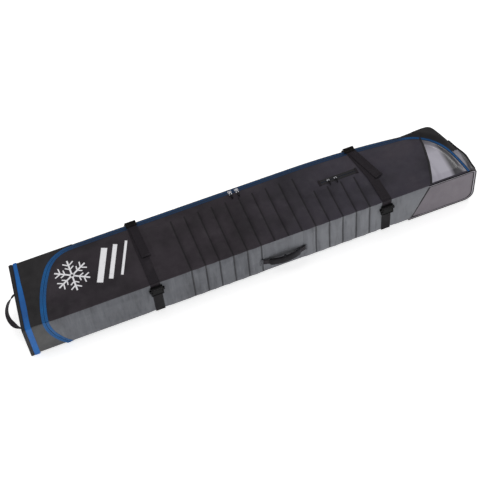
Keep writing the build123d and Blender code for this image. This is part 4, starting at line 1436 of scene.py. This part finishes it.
def build_right_edging(front_tree, lid_tree):
    """Double piping round the end of the front face, and the bindings over the two seams."""
    outer = make("right_end_piping_outer", tube(end_frame(2.7, FRONT_Y - 1.2), 2.6, 12), PIPING,
                 "tub")
    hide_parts("right_end_piping")
    make("right_end_piping_inner", tube(end_frame(11.0, FRONT_Y - 1.4), 1.7, 10), PIPING, "tub")
    route = end_frame(7.0, FRONT_Y - 1.0)
    strap("right_end_piping_tape", route, (0, -1, 0), 8, 1.0, PALE_TAPE, "tub")
    plan, inward = rim_span((RIGHT_X, FRONT_Y), (RIGHT_MIDDLE[0], 20), 90)
    top = end_top(plan)[:, None]
    drawn_in = top * (1 - math.cos(RIM_ANGLE)) - 0.8
    edge = np.c_[plan + inward * drawn_in, TOP_Z + 1.4 - top * (1 - math.sin(RIM_ANGLE))]
    make("right_rim_piping", tube(respace(edge, 3), 3.0, 10), PIPING, "tub")
    heights = np.linspace(4, TOP_Z - 8, 40)
    seam = [(seam_x_on_front(z), depth_at(front_tree, seam_x_on_front(z), z) - 0.2, z)
            for z in heights]
    binding = strap("front_seam_tape", rounded(seam, 4, 2), (0, -1, 0), 6.5, 1.5, BLACK_TAPE,
                    "tub", CROWNED)
    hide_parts("front_seam_binding")
    y = np.arange(FRONT_Y + 2, 84, 4.0)
    seam = [(patch_x(b), b, height_at(lid_tree, patch_x(b), b) - 0.1) for b in y]
    binding = strap("lid_seam_tape", rounded(seam, 4, 2), (0, 0, 1), 8.5, 1.7, BLACK_TAPE, "lid",
                    CROWNED)
    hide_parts("lid_seam_binding")


def build_hinge_seam(front_tree, lid_tree):
    """The cloth fold along the lid's front edge."""
    x = np.arange(-818, 884, CELL)
    outer, inner = [], []
    for a in x:
        front_y = min(depth_at(front_tree, a, TOP_Z - 5), FRONT_Y)
        lid_z = height_at(lid_tree, a, FRONT_Y + 5)
        profile = [(front_y - 0.25, TOP_Z - 5), (front_y - 0.7, TOP_Z - 3.2),
                   (FRONT_Y - 1.4, TOP_Z - 0.6), (FRONT_Y - 0.2, TOP_Z + 0.8),
                   (FRONT_Y + 2.5, max(lid_z, TOP_Z - 0.3) + 0.7), (FRONT_Y + 5, lid_z + 0.25)]
        outer.append([(a, y, z) for y, z in profile])
        inner.append([(a, y + 1.0, z - 1.0) for y, z in profile])
    fold = make("lid_front_fold", slab(np.array(outer), np.array(inner)), LID_CLOTH, None,
                shade=2)
    bake_modifiers(fold)
    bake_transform(fold)


def bake_modifiers(piece):
    """Applies a piece's modifiers to its mesh."""
    graph = bpy.context.evaluated_depsgraph_get()
    done = bpy.data.meshes.new_from_object(piece.evaluated_get(graph))
    piece.modifiers.clear()
    piece.data = done


# ---------------------------------------------------------------- straps and buckles


def strap_over_lid(name, route, edge, tree):
    """A strap over the lid and its drop to the buckle behind, riding with the lid."""
    across = lay_on_top(tree, route[::-1], WEB_W / 2, 0.5, floor=STRAP_Z + 0.1)
    x = route[0][0]
    z = across[-1][2]
    drop = [(x, edge + 2.2, z), (x, edge + 5.6, z - 2.6), (x, edge + 5.8, z - 8),
            (x, edge + 5.6, 176)]
    path = np.concatenate([across, drop])
    path = rounded(path, 4, 2)
    up = np.zeros_like(path)
    bend = ease((path[:, 1] - (edge + 0.5)) / 5)
    up[:, 1], up[:, 2] = bend, 1 - bend + 0.02
    piece = strap(name, path, up, WEB_W, WEB_T, WEBBING, "lid")
    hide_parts("top_straps")
    for side in (-1, 1):
        edge_line = across + np.cross(tangents(across), (0, 0, 1)) * side * (WEB_W / 2 - 3)
        make(f"{name}_selvedge_{'front' if side < 0 else 'back'}",
             stitches(edge_line + (0, 0, WEB_T + 0.05), (0, 0, 1), 7, 4.2, 0.35), THREAD, "lid")
    return across


def build_tail(name, route, across):
    """The spare end of a strap, lying on it, with a folded and stitched hem."""
    start, end = np.array(route[0], float), np.array(route[1], float)
    heading = (end - start) / np.linalg.norm(end - start)
    points = [start + heading * d for d in np.arange(0, np.linalg.norm(end - start), 8)] + [end]
    z = np.interp([p[1] for p in points], across[:, 1], across[:, 2]) + WEB_T + 0.15
    bow = 0.9 * np.sin(np.linspace(0, 5.5, len(points))) ** 2
    path = np.c_[np.array(points), z + bow]
    tail = strap(name, path, (0, 0, 1), TAIL_W, 1.7, WEBBING, "lid")
    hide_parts("strap_tails")
    last = path[-1]
    head = [*heading, 0]
    hem = [last - np.array(head) * 6 + (0, 0, 1.3), last + (0, 0, 1.7),
           last + np.array(head) * 2.2 + (0, 0, 1.0)]
    strap(f"{name}_hem", respace(hem, 1.5), (0, 0, 1), TAIL_W + 0.6, 2.6, WEBBING, "lid")
    across_x = np.cross(head, (0, 0, 1))
    for number, back in enumerate((1.0, 5.0)):
        row = [last - np.array(head) * back + across_x * r + (0, 0, 4.0)
               for r in (-15, 0, 15)]
        make(f"{name}_bar_tack_{number}", stitches(row, (0, 0, 1), 3.2, 2.6, 0.35), THREAD,
             "lid")


def build_corner_strap(name, x, lid_end_z, low_end):
    """The strap's turn over the front edge."""
    z = lid_end_z
    points = [(x, FRONT_Y + 12, z + 0.1), (x, FRONT_Y + 3, z + 0.15), (x, FRONT_Y - 1.5, z - 1.2),
              (x, FRONT_Y - 1.7, z - 5), (x, FRONT_Y - 1.3, z - 12), (x, FRONT_Y - 0.8, low_end)]
    path = rounded(points, 1.5, 5)
    bend = ease((FRONT_Y + 3 - path[:, 1]) / 5)
    up = np.stack([0 * bend, -bend, 1.02 - bend], axis=1)
    shape, along = ribbon(path, up, WEB_W + 0.4, WEB_T - 0.6)
    piece = make(name, shape, WEBBING, None, along=along)
    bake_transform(piece)


def build_front_buckle_webbing(side, front_tree):
    """Webbing sewn down the front below a buckle, and the loop of strap round its plug."""
    x, low_z = FRONT_BUCKLES[side]
    heights = np.linspace(1.2, low_z + 14, 26)
    deep = []
    for z in heights:
        deep.append(min(depth_at(front_tree, x + shift, max(z, 4)) for shift in (-17, -8, 0, 8, 17)))
    deep = np.minimum(np.array(deep), FRONT_Y) - 0.1
    route = np.stack([np.full(len(heights), float(x)), deep, heights], axis=1)
    web = strap(f"front_webbing_{side}", rounded(route, 4, 2), (0, -1, 0), WEB_W, WEB_T,
                SHADED_WEBBING, "tub")
    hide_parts("front_webbing")
    for row, shift in enumerate((-WEB_W / 2 + 3, WEB_W / 2 - 3)):
        seam = route + (shift, -WEB_T - 0.1, 0)
        make(f"front_webbing_{side}_seam_{row}", stitches(seam[1:-4], (0, -1, 0), 6), THREAD,
             "tub")
    near, far = FRONT_Y - 4.5, FRONT_Y - 11.4
    loop = [(x, near, low_z + 51), (x, near - 0.1, low_z + 49), (x, FRONT_Y - 5.0, low_z + 46.6),
            (x, FRONT_Y - 7, low_z + 46.0), (x, far, low_z + 45.4), (x, far - 0.9, low_z + 42),
            (x, far, low_z + 38), (x, FRONT_Y - 7, low_z + 36.6), (x, FRONT_Y - 4.7, low_z + 36.8)]
    path = rounded(loop, 1.2, 4)
    centre = np.array([x, FRONT_Y - 6.5, low_z + 42])
    up = path - centre
    up[:, 0] = 0
    straight = path[:, 2] > low_z + 47.5
    up[straight] = (0, -1, 0)
    piece = strap(f"front_plug_loop_{side}", path, up, WEB_W - 1, 1.4, SHADED_WEBBING,
                  f"front_plug_{side}")
    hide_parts(f"front_strap_end_{side}")


def build_back_webbing(back_tree):
    for number, (x, edge) in enumerate(BACK_BUCKLES):
        heights = np.linspace(2, 142, 30)
        deep = []
        for z in heights:
            hits = [back_tree.ray_cast(Vector(((x + s) * MM, 0.4, max(z, 6) * MM)),
                                       Vector((0, -1, 0))) for s in (-17, 0, 17)]
            deep.append(max([hit[0].y / MM for hit in hits if hit[0]] + [edge]))
        route = np.stack([np.full(30, float(x)), np.array(deep) + 0.1, heights], axis=1)
        web = strap(f"back_webbing_{number}", rounded(route, 4, 2), (0, 1, 0), WEB_W, WEB_T,
                    WEBBING, "tub")
        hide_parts("back_webbing")


def build_straps(lid_tree, top_tree, front_tree, back_tree):
    left = strap_over_lid("left_strap", LEFT_STRAP, BACK_BUCKLES[0][1], top_tree)
    right = strap_over_lid("right_strap", RIGHT_STRAP, BACK_BUCKLES[1][1], top_tree)
    build_tail("left_strap_tail", LEFT_TAIL, left)
    build_tail("right_strap_tail", RIGHT_TAIL, right)
    for side, x, across in (("left", LEFT_STRAP_X - 2, left), ("right", RIGHT_STRAP_X + 1, right)):
        build_corner_strap(f"{side}_strap_turn", x, across[0][2], FRONT_BUCKLES[side][1] + 43)
    for side in FRONT_BUCKLES:
        build_front_buckle_webbing(side, front_tree)
    build_back_webbing(back_tree)


# ---------------------------------------------------------------- handle and end loop


def handle_arc(half, count):
    """The carry handle's bow seen from above."""
    bow, reach = 16, 76
    radius = (reach**2 + bow**2) / (2 * bow)
    x = np.linspace(-half, half, count)
    middle = FRONT_Y - 7 - bow
    return np.stack([HANDLE_X + x, middle + radius - np.sqrt(radius**2 - x**2),
                     np.zeros(count)], axis=1)


def handle_out(route):
    """Directions straight out from the handle's bow, away from the bag."""
    out = unit(np.cross((0, 0, 1), tangents(route)))
    return np.where(out[:, 1:2] > 0, -out, out)


def box_route(near, far, half):
    """The crossed box that a sewing machine makes to hold a webbing end."""
    return [(near, -half), (far, -half), (far, half), (near, half), (near, -half), (far, half),
            (near, half), (far, -half)]


def build_handle():
    """Padded grip wrapped round the webbing, its sewn edges, the webbing's ends and tabs."""
    line = handle_arc(66, 70)
    share = np.abs(np.linspace(-1, 1, len(line)))
    end = ease((share - 0.84) / 0.16)
    half_tall = 19 - 4.0 * end**2
    half_thick = 6.2 - 3.4 * end
    side = unit(np.cross(tangents(line), (0, 0, 1)))
    rings = []
    around = 28
    for i, point in enumerate(line):
        for k in range(around):
            turn = 2 * math.pi * k / around
            c, s = math.cos(turn), math.sin(turn)
            wide = math.copysign(abs(c) ** 0.75, c) * half_thick[i]
            tall = math.copysign(abs(s) ** 0.62, s) * half_tall[i]
            crease = 0.5 * noise.noise(Vector((point[0] / 9, turn * 1.3, 3)))
            rings.append(point + side[i] * (wide + crease) + (0, 0, HANDLE_Z + tall + 0.6 * crease))
    shape = (np.array(rings), ring_faces(len(line), around))
    grip = make("carry_grip_padded", shape, GRIP, "carry_handle", shade=2)
    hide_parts("carry_handle_grip")
    for name, z in (("top", HANDLE_Z + 15.6), ("bottom", HANDLE_Z - 15.6)):
        seam = handle_arc(60, 40)
        out = handle_out(seam)
        seam = seam + out * 5.0 + (0, 0, z)
        make(f"carry_grip_seam_{name}", stitches(seam, out, 5, 3.4, 0.5), THREAD,
             "carry_handle")
    route = handle_arc(80, 50) + (0, 0, HANDLE_Z)
    out = handle_out(route)
    core = strap("carry_handle_webbing", route - out * 1.2, out, 27, 2.4, WEBBING,
                 "carry_handle")
    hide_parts("carry_handle_strap")
    for sign, name in ((-1, "left"), (1, "right")):
        first = route[0] if sign < 0 else route[-1]
        x = first[0]
        path = [(x - sign * 7, first[1] - 1.8, HANDLE_Z), (x + sign * 1, first[1] + 0.3, HANDLE_Z),
                (x + sign * 5, FRONT_Y - 3.0, HANDLE_Z), (x + sign * 13, FRONT_Y - 1.5, HANDLE_Z),
                (x + sign * 20, FRONT_Y - 1.2, HANDLE_Z)]
        if sign < 0:
            path = path[::-1]
        path = rounded(path, 1.5, 4)
        shape, along = ribbon(path, (0, -1, 0), 29, 2.4)
        root = make(f"carry_handle_root_{name}", shape, WEBBING, None, along=along)
        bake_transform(root)
        tab = respace([(x + sign * 8, FRONT_Y - 3.2, HANDLE_Z),
                       (x + sign * 25, FRONT_Y - 2.6, HANDLE_Z)], 2)
        piece = strap(f"carry_handle_tab_{name}", tab, (0, -1, 0), 36, 2.6, GREY_WEBBING, "tub")
        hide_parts("handle_anchors")
        box = [(x + sign * dx, FRONT_Y - 5.8, HANDLE_Z + dz) for dx, dz in box_route(10, 23, 13)]
        make(f"carry_handle_box_stitch_{name}", stitches(box, (0, -1, 0), 4, 2.8, 0.45), THREAD,
             "tub")


LOOP_AT = (-909.5, -2, 95)


def loop_place(points):
    """Turns points of the end loop's own frame into the row frame."""
    angle = math.atan2(-END_LEAN, BACK_Y - FRONT_Y)
    points = np.asarray(points, float)
    x = points[:, 0] * math.cos(angle) - points[:, 1] * math.sin(angle)
    y = points[:, 0] * math.sin(angle) + points[:, 1] * math.cos(angle)
    return np.stack([x + LOOP_AT[0], y + LOOP_AT[1], points[:, 2] + LOOP_AT[2]], axis=1)


def build_end_loop():
    """Grab loop of webbing on the left end, sewn down between two tabs."""
    arc = circle_through((-6, -80), (-52, 0), (-6, 80), 70)
    route = loop_place(np.c_[arc, np.zeros(len(arc))])
    lean = np.radians(42) * ease((-arc[:, 0] - 10) / 30)
    out = unit(arc - np.array([10, 0])) * np.cos(lean)[:, None]
    out = np.c_[out, np.sin(lean)]
    angle = math.atan2(-END_LEAN, BACK_Y - FRONT_Y)
    turned = np.stack([out[:, 0] * math.cos(angle) - out[:, 1] * math.sin(angle),
                       out[:, 0] * math.sin(angle) + out[:, 1] * math.cos(angle),
                       out[:, 2]], axis=1)
    width = 9 + 14 * ease((-arc[:, 0] - 6) / 26)
    piece = strap("end_loop_webbing", route - turned * 1.4, turned, width, 2.8, WEBBING,
                  "end_loop")
    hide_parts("end_loop")
    for sign, name in ((-1, "front"), (1, "back")):
        path = np.array([(-7.5, sign * 77, 0), (-5.6, sign * 81, 0), (-3.6, sign * 86, 0),
                         (-2.6, sign * 94, 0), (-2.4, sign * 101, 0)], float)
        path = rounded(path, 1.5, 3)
        root_width = 9 + 14 * ease((np.abs(path[:, 1]) - 80) / 10)
        placed = loop_place(path)
        shape, along = ribbon(placed, (-1, 0, 0), root_width, 2.4)
        root = make(f"end_loop_root_{name}", shape, WEBBING, None, along=along)
        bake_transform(root)
        tab = loop_place([(-2.2, sign * 85, 0), (-2.2, sign * 94, 0), (-2.2, sign * 104, 0)])
        piece = strap(f"end_loop_tab_{name}", respace(tab, 2), (-1, 0, 0), 27, 3.0, WEBBING,
                      "tub")
        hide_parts("end_loop_anchors")
        box = [(-5.6, sign * a, b) for a, b in box_route(87, 101, 10)]
        make(f"end_loop_box_stitch_{name}", stitches(loop_place(box), (-1, 0, 0), 4, 2.8, 0.45),
             THREAD, "tub")


# ---------------------------------------------------------------- sliders, tie-downs, print


def build_pull(name, x, y, pin_z, scale, body, metal):
    """A zip pull lying over the lid: an eye on the pin, a forked metal link, a corded end."""
    eye = [(x, y + 2.0 * scale * math.cos(a), pin_z + 2.0 * scale * math.sin(a))
           for a in np.linspace(0, 2 * math.pi, 14, endpoint=False)]
    parts = [tube(eye, 0.85 * scale, 8, closed=True)]
    for side in (-1, 1):
        leg = [(x, y - 2.4 * scale, pin_z), (x + side * 2.4 * scale, y - 6 * scale, pin_z),
               (x + side * 5.8 * scale, y - 14.5 * scale, pin_z - 0.3)]
        parts.append(tube(rounded(leg, 0.8, 2), 1.35 * scale, 8))
    bar = [(x - 6.4 * scale, y - 14.6 * scale, pin_z - 0.3),
           (x + 6.4 * scale, y - 14.6 * scale, pin_z - 0.3)]
    parts.append(tube(respace(bar, 1), 1.35 * scale, 8))
    link = make(f"{name}_link", join(parts), metal, body)
    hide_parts(name)
    loop = [(x - 1.6 * scale, y - 13.6 * scale, pin_z + 1.2 * scale)]
    for side in (-1, 1):
        loop += [(x + side * 3.0 * scale, y - d * scale, pin_z - 0.6)
                 for d in ((18, 24, 30) if side < 0 else (30, 24, 18))]
    loop.append((x + 1.6 * scale, y - 13.6 * scale, pin_z + 1.2 * scale))
    cord = tube(rounded(loop, 1.2, 4), 1.25 * scale, 8)
    knot = [(x + 2.4 * scale * math.sin(t) * (1 - t / 16), y - (31 + 1.0 * t * 0.5) * scale,
             pin_z - 0.5 + 0.9 * scale * math.cos(t)) for t in np.linspace(0, 12, 40)]
    make(f"{name}_cord", join([cord, tube(knot, 1.2 * scale, 8)]), CORD, body)


def build_pulls():
    for side, x in (("left", -2), ("right", 26)):
        build_pull(f"zip_pull_{side}", x, ZIP_BACK_Y, 195.2, 1.0, f"zip_pull_{side}", METAL)
    for side, x in (("left", 372), ("right", 402)):
        build_pull(f"pocket_pull_{side}", x, POCKET_Y, 195.0, 0.72, f"pocket_pull_{side}",
                   BLACK_METAL)


def build_tie_downs():
    for number, x in enumerate((-420, 320)):
        for start, end in ((-138, -10), (10, 122)):
            y = np.arange(start, end, 6.0)
            wave = 14.4 + 0.7 * (1 + np.sin(y / 19 + number))
            inner = np.abs(y) < 20
            route = np.stack([np.full(len(y), float(x)), y, np.where(inner, 14.6, wave)], axis=1)
            web = strap(f"tie_down_{number}_{'front' if start < 0 else 'back'}", route,
                        (0, 0, 1), 25, 1.3, WEBBING, "tub")
            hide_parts("tie_down_straps")


def bar_cells(start, end, width, size=4.0):
    """A flat bar as a grid of plan points."""
    start, end = np.array(start, float), np.array(end, float)
    length = np.linalg.norm(end - start)
    heading = (end - start) / length
    across = np.array([-heading[1], heading[0]])
    u = np.linspace(0, length, max(2, int(length / size) + 1))
    v = np.linspace(-width / 2, width / 2, max(3, int(width / size) + 2))
    return start + heading * u[:, None, None] + across * v[None, :, None]


def build_print(lid_tree):
    """A plain printed snowflake and three slanting stripes on the lid."""
    bars = []
    centre = np.array([-684.0, 2.0])
    for arm in range(6):
        angle = math.radians(60 * arm + 30)
        heading = np.array([math.cos(angle), math.sin(angle)])
        bars.append(bar_cells(centre + heading * 9, centre + heading * 70, 6.5))
        for reach, branch in ((28, 17), (46, 22)):
            for lean in (-55, 55):
                turn = angle + math.radians(lean)
                tip = np.array([math.cos(turn), math.sin(turn)])
                root = centre + heading * reach + tip * 3.4
                bars.append(bar_cells(root, root + tip * branch, 5.0))
    ring = [centre + 9 * np.array([math.cos(a), math.sin(a)])
            for a in np.linspace(0, 2 * math.pi, 7)]
    bars += [bar_cells(a, b, 5) for a, b in zip(ring, ring[1:])]
    for number in range(3):
        left = -596 + 44 * number
        bars.append(bar_cells((left, -70), (left + 62, 72), 24 - 7 * number))
    shapes = []
    for rank, cells in enumerate(bars):
        z = np.array([[height_at(lid_tree, *p) for p in row] for row in cells])
        lift = 0.3 + 0.03 * (rank % 5)
        top = np.dstack([cells, z + lift])
        bottom = np.dstack([cells, z - 0.3])
        shapes.append(slab(top, bottom))
    make("lid_print", join(shapes), INK, "lid")


def build_channel_stitches(lid_tree, front_tree):
    """Thread in the sewn channels of the lid and the front."""
    rows = []
    for x in CHANNELS[:14]:
        y = np.arange(FRONT_Y + 6, float(channel_top(np.array(x))) - 2, 5.0)
        if RIGHT_STRAP_X - 70 < x:
            y = y[np.abs(x - strap_x(RIGHT_STRAP, y)) > 24]
        route = [(x, b, height_at(lid_tree, x, b) + 0.12) for b in y]
        if len(route) > 3:
            rows.append(stitches(route, (0, 0, 1), 6, 4, 0.4))
    make("lid_channel_thread", join(rows), BLACK_TAPE_THREAD, "lid")
    rows = []
    for x in [*CHANNELS, *HANDLE_ZONE]:
        if HANDLE_ZONE[0] < x < HANDLE_ZONE[1] or x > RIGHT_STRAP_X - 25:
            continue
        route = [(x, depth_at(front_tree, x, z) - 0.12, z) for z in np.arange(9, 180, 5.0)]
        rows.append(stitches(route, (0, -1, 0), 6, 4, 0.4))
    make("front_channel_thread", join(rows), THREAD, "tub")


def dress(material, bevel, *nodes):
    """Gives CAD nodes a finish, and rounds their edges with modifiers."""
    for name in nodes:
        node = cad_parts[name]
        node.data.materials.clear()
        node.data.materials.append(material)
        weld = node.modifiers.new("weld", "WELD")
        weld.merge_threshold = 0.01 * MM
        round_edges = node.modifiers.new("round", "BEVEL")
        round_edges.width = bevel * MM
        round_edges.segments = 3
        round_edges.limit_method = "ANGLE"
        round_edges.angle_limit = math.radians(35)
        round_edges.harden_normals = True


def dress_hardware():
    dress(PLASTIC, 1.1, "front_buckle_sockets", "back_buckle_sockets", "front_buckle_plug_left",
          "front_buckle_plug_right", "back_buckle_plugs")
    dress(LOCK_PLASTIC, 0.8, "strap_adjusters")
    dress(PLASTIC, 0.6, "tie_down_locks")
    dress(METAL, 0.35, "zip_slider_left", "zip_slider_right")
    dress(METAL, 0.25, "pocket_slider_left", "pocket_slider_right")
    dress(BLACK_METAL, 0.5, "handle_ring")


# ---------------------------------------------------------------- camera, light, floor

CAMERA_AT = (-0.7944, -2.7235, 4.2586)
CAMERA_YAW, CAMERA_PITCH, CAMERA_ROLL = -15.93, 56.11, 6.26
CAMERA_LENS = 96.78


def build_camera():
    yaw, pitch, roll = (math.radians(a) for a in (CAMERA_YAW, CAMERA_PITCH, CAMERA_ROLL))
    forward = Vector((-math.sin(yaw) * math.cos(pitch), math.cos(yaw) * math.cos(pitch),
                      -math.sin(pitch)))
    right = Vector((math.cos(yaw), math.sin(yaw), 0))
    down = forward.cross(right)
    if down.z > 0:
        down = -down
    right_rolled = math.cos(roll) * right + math.sin(roll) * down
    down_rolled = math.cos(roll) * down - math.sin(roll) * right
    data = bpy.data.cameras.new("camera")
    data.lens = CAMERA_LENS
    data.sensor_width = 36
    camera = bpy.data.objects.new("camera", data)
    bpy.context.scene.collection.objects.link(camera)
    axes = Matrix((right_rolled, -down_rolled, -forward)).transposed()
    camera.matrix_world = Matrix.Translation(CAMERA_AT) @ axes.to_4x4()
    bpy.context.scene.camera = camera


def area_light(name, at, towards, size, power, colour=(1, 1, 1)):
    data = bpy.data.lights.new(name, "AREA")
    data.shape = "RECTANGLE"
    data.size, data.size_y = size
    data.energy = power
    data.color = colour
    light = bpy.data.objects.new(name, data)
    light.location = at
    light.rotation_euler = (Vector(towards) - Vector(at)).to_track_quat("-Z", "Y").to_euler()
    bpy.context.scene.collection.objects.link(light)


def build_studio():
    world = bpy.data.worlds.new("studio")
    world.use_nodes = True
    world.node_tree.nodes["Background"].inputs["Color"].default_value = (1, 1, 1, 1)
    world.node_tree.nodes["Background"].inputs["Strength"].default_value = 0.42
    bpy.context.scene.world = world
    bpy.context.scene.view_settings.view_transform = "Standard"
    area_light("key", (-1.6, 0.6, 3.4), (0, 0, 0.1), (2.4, 2.4), 40)
    area_light("front_fill", (0.6, -3.6, 1.6), (0.1, 0, 0.1), (3.0, 1.6), 36)
    area_light("back_right", (2.6, 1.6, 2.2), (0.7, 0, 0.15), (1.2, 1.2), 24)
    paint = Paint("studio_floor", roughness=0.9)
    tone = paint.ramp(paint.noise(3, 3), (0.3, srgb(250, 250, 250)), (0.7, srgb(253, 253, 253)))
    paint.shader.inputs["Emission Color"].default_value = (1, 1, 1, 1)
    paint.shader.inputs["Emission Strength"].default_value = 0.5
    shape = ([(-20000, -20000, -0.05), (20000, -20000, -0.05), (20000, 20000, -0.05),
              (-20000, 20000, -0.05)], [(0, 1, 2, 3)])
    floor = make("studio_floor", shape, paint.done(tone))


build_camera()
build_studio()
lid = build_lid()
front_pieces = build_front()
back_piece = build_walls()
top_pieces = build_top_panels()
build_base()
lid_tree = surface_of(lid)
front_tree = surface_of(*front_pieces)
back_tree = surface_of(back_piece)
top_tree = surface_of(lid, *top_pieces)
build_main_zip(top_tree)
build_front_zip(front_tree)
build_pocket(lid_tree)
build_left_edging()
build_right_edging(front_tree, lid_tree)
build_hinge_seam(front_tree, lid_tree)
build_straps(lid_tree, top_tree, front_tree, back_tree)
build_handle()
build_end_loop()
build_pulls()
build_tie_downs()
build_print(lid_tree)
build_channel_stitches(lid_tree, front_tree)
dress_hardware()
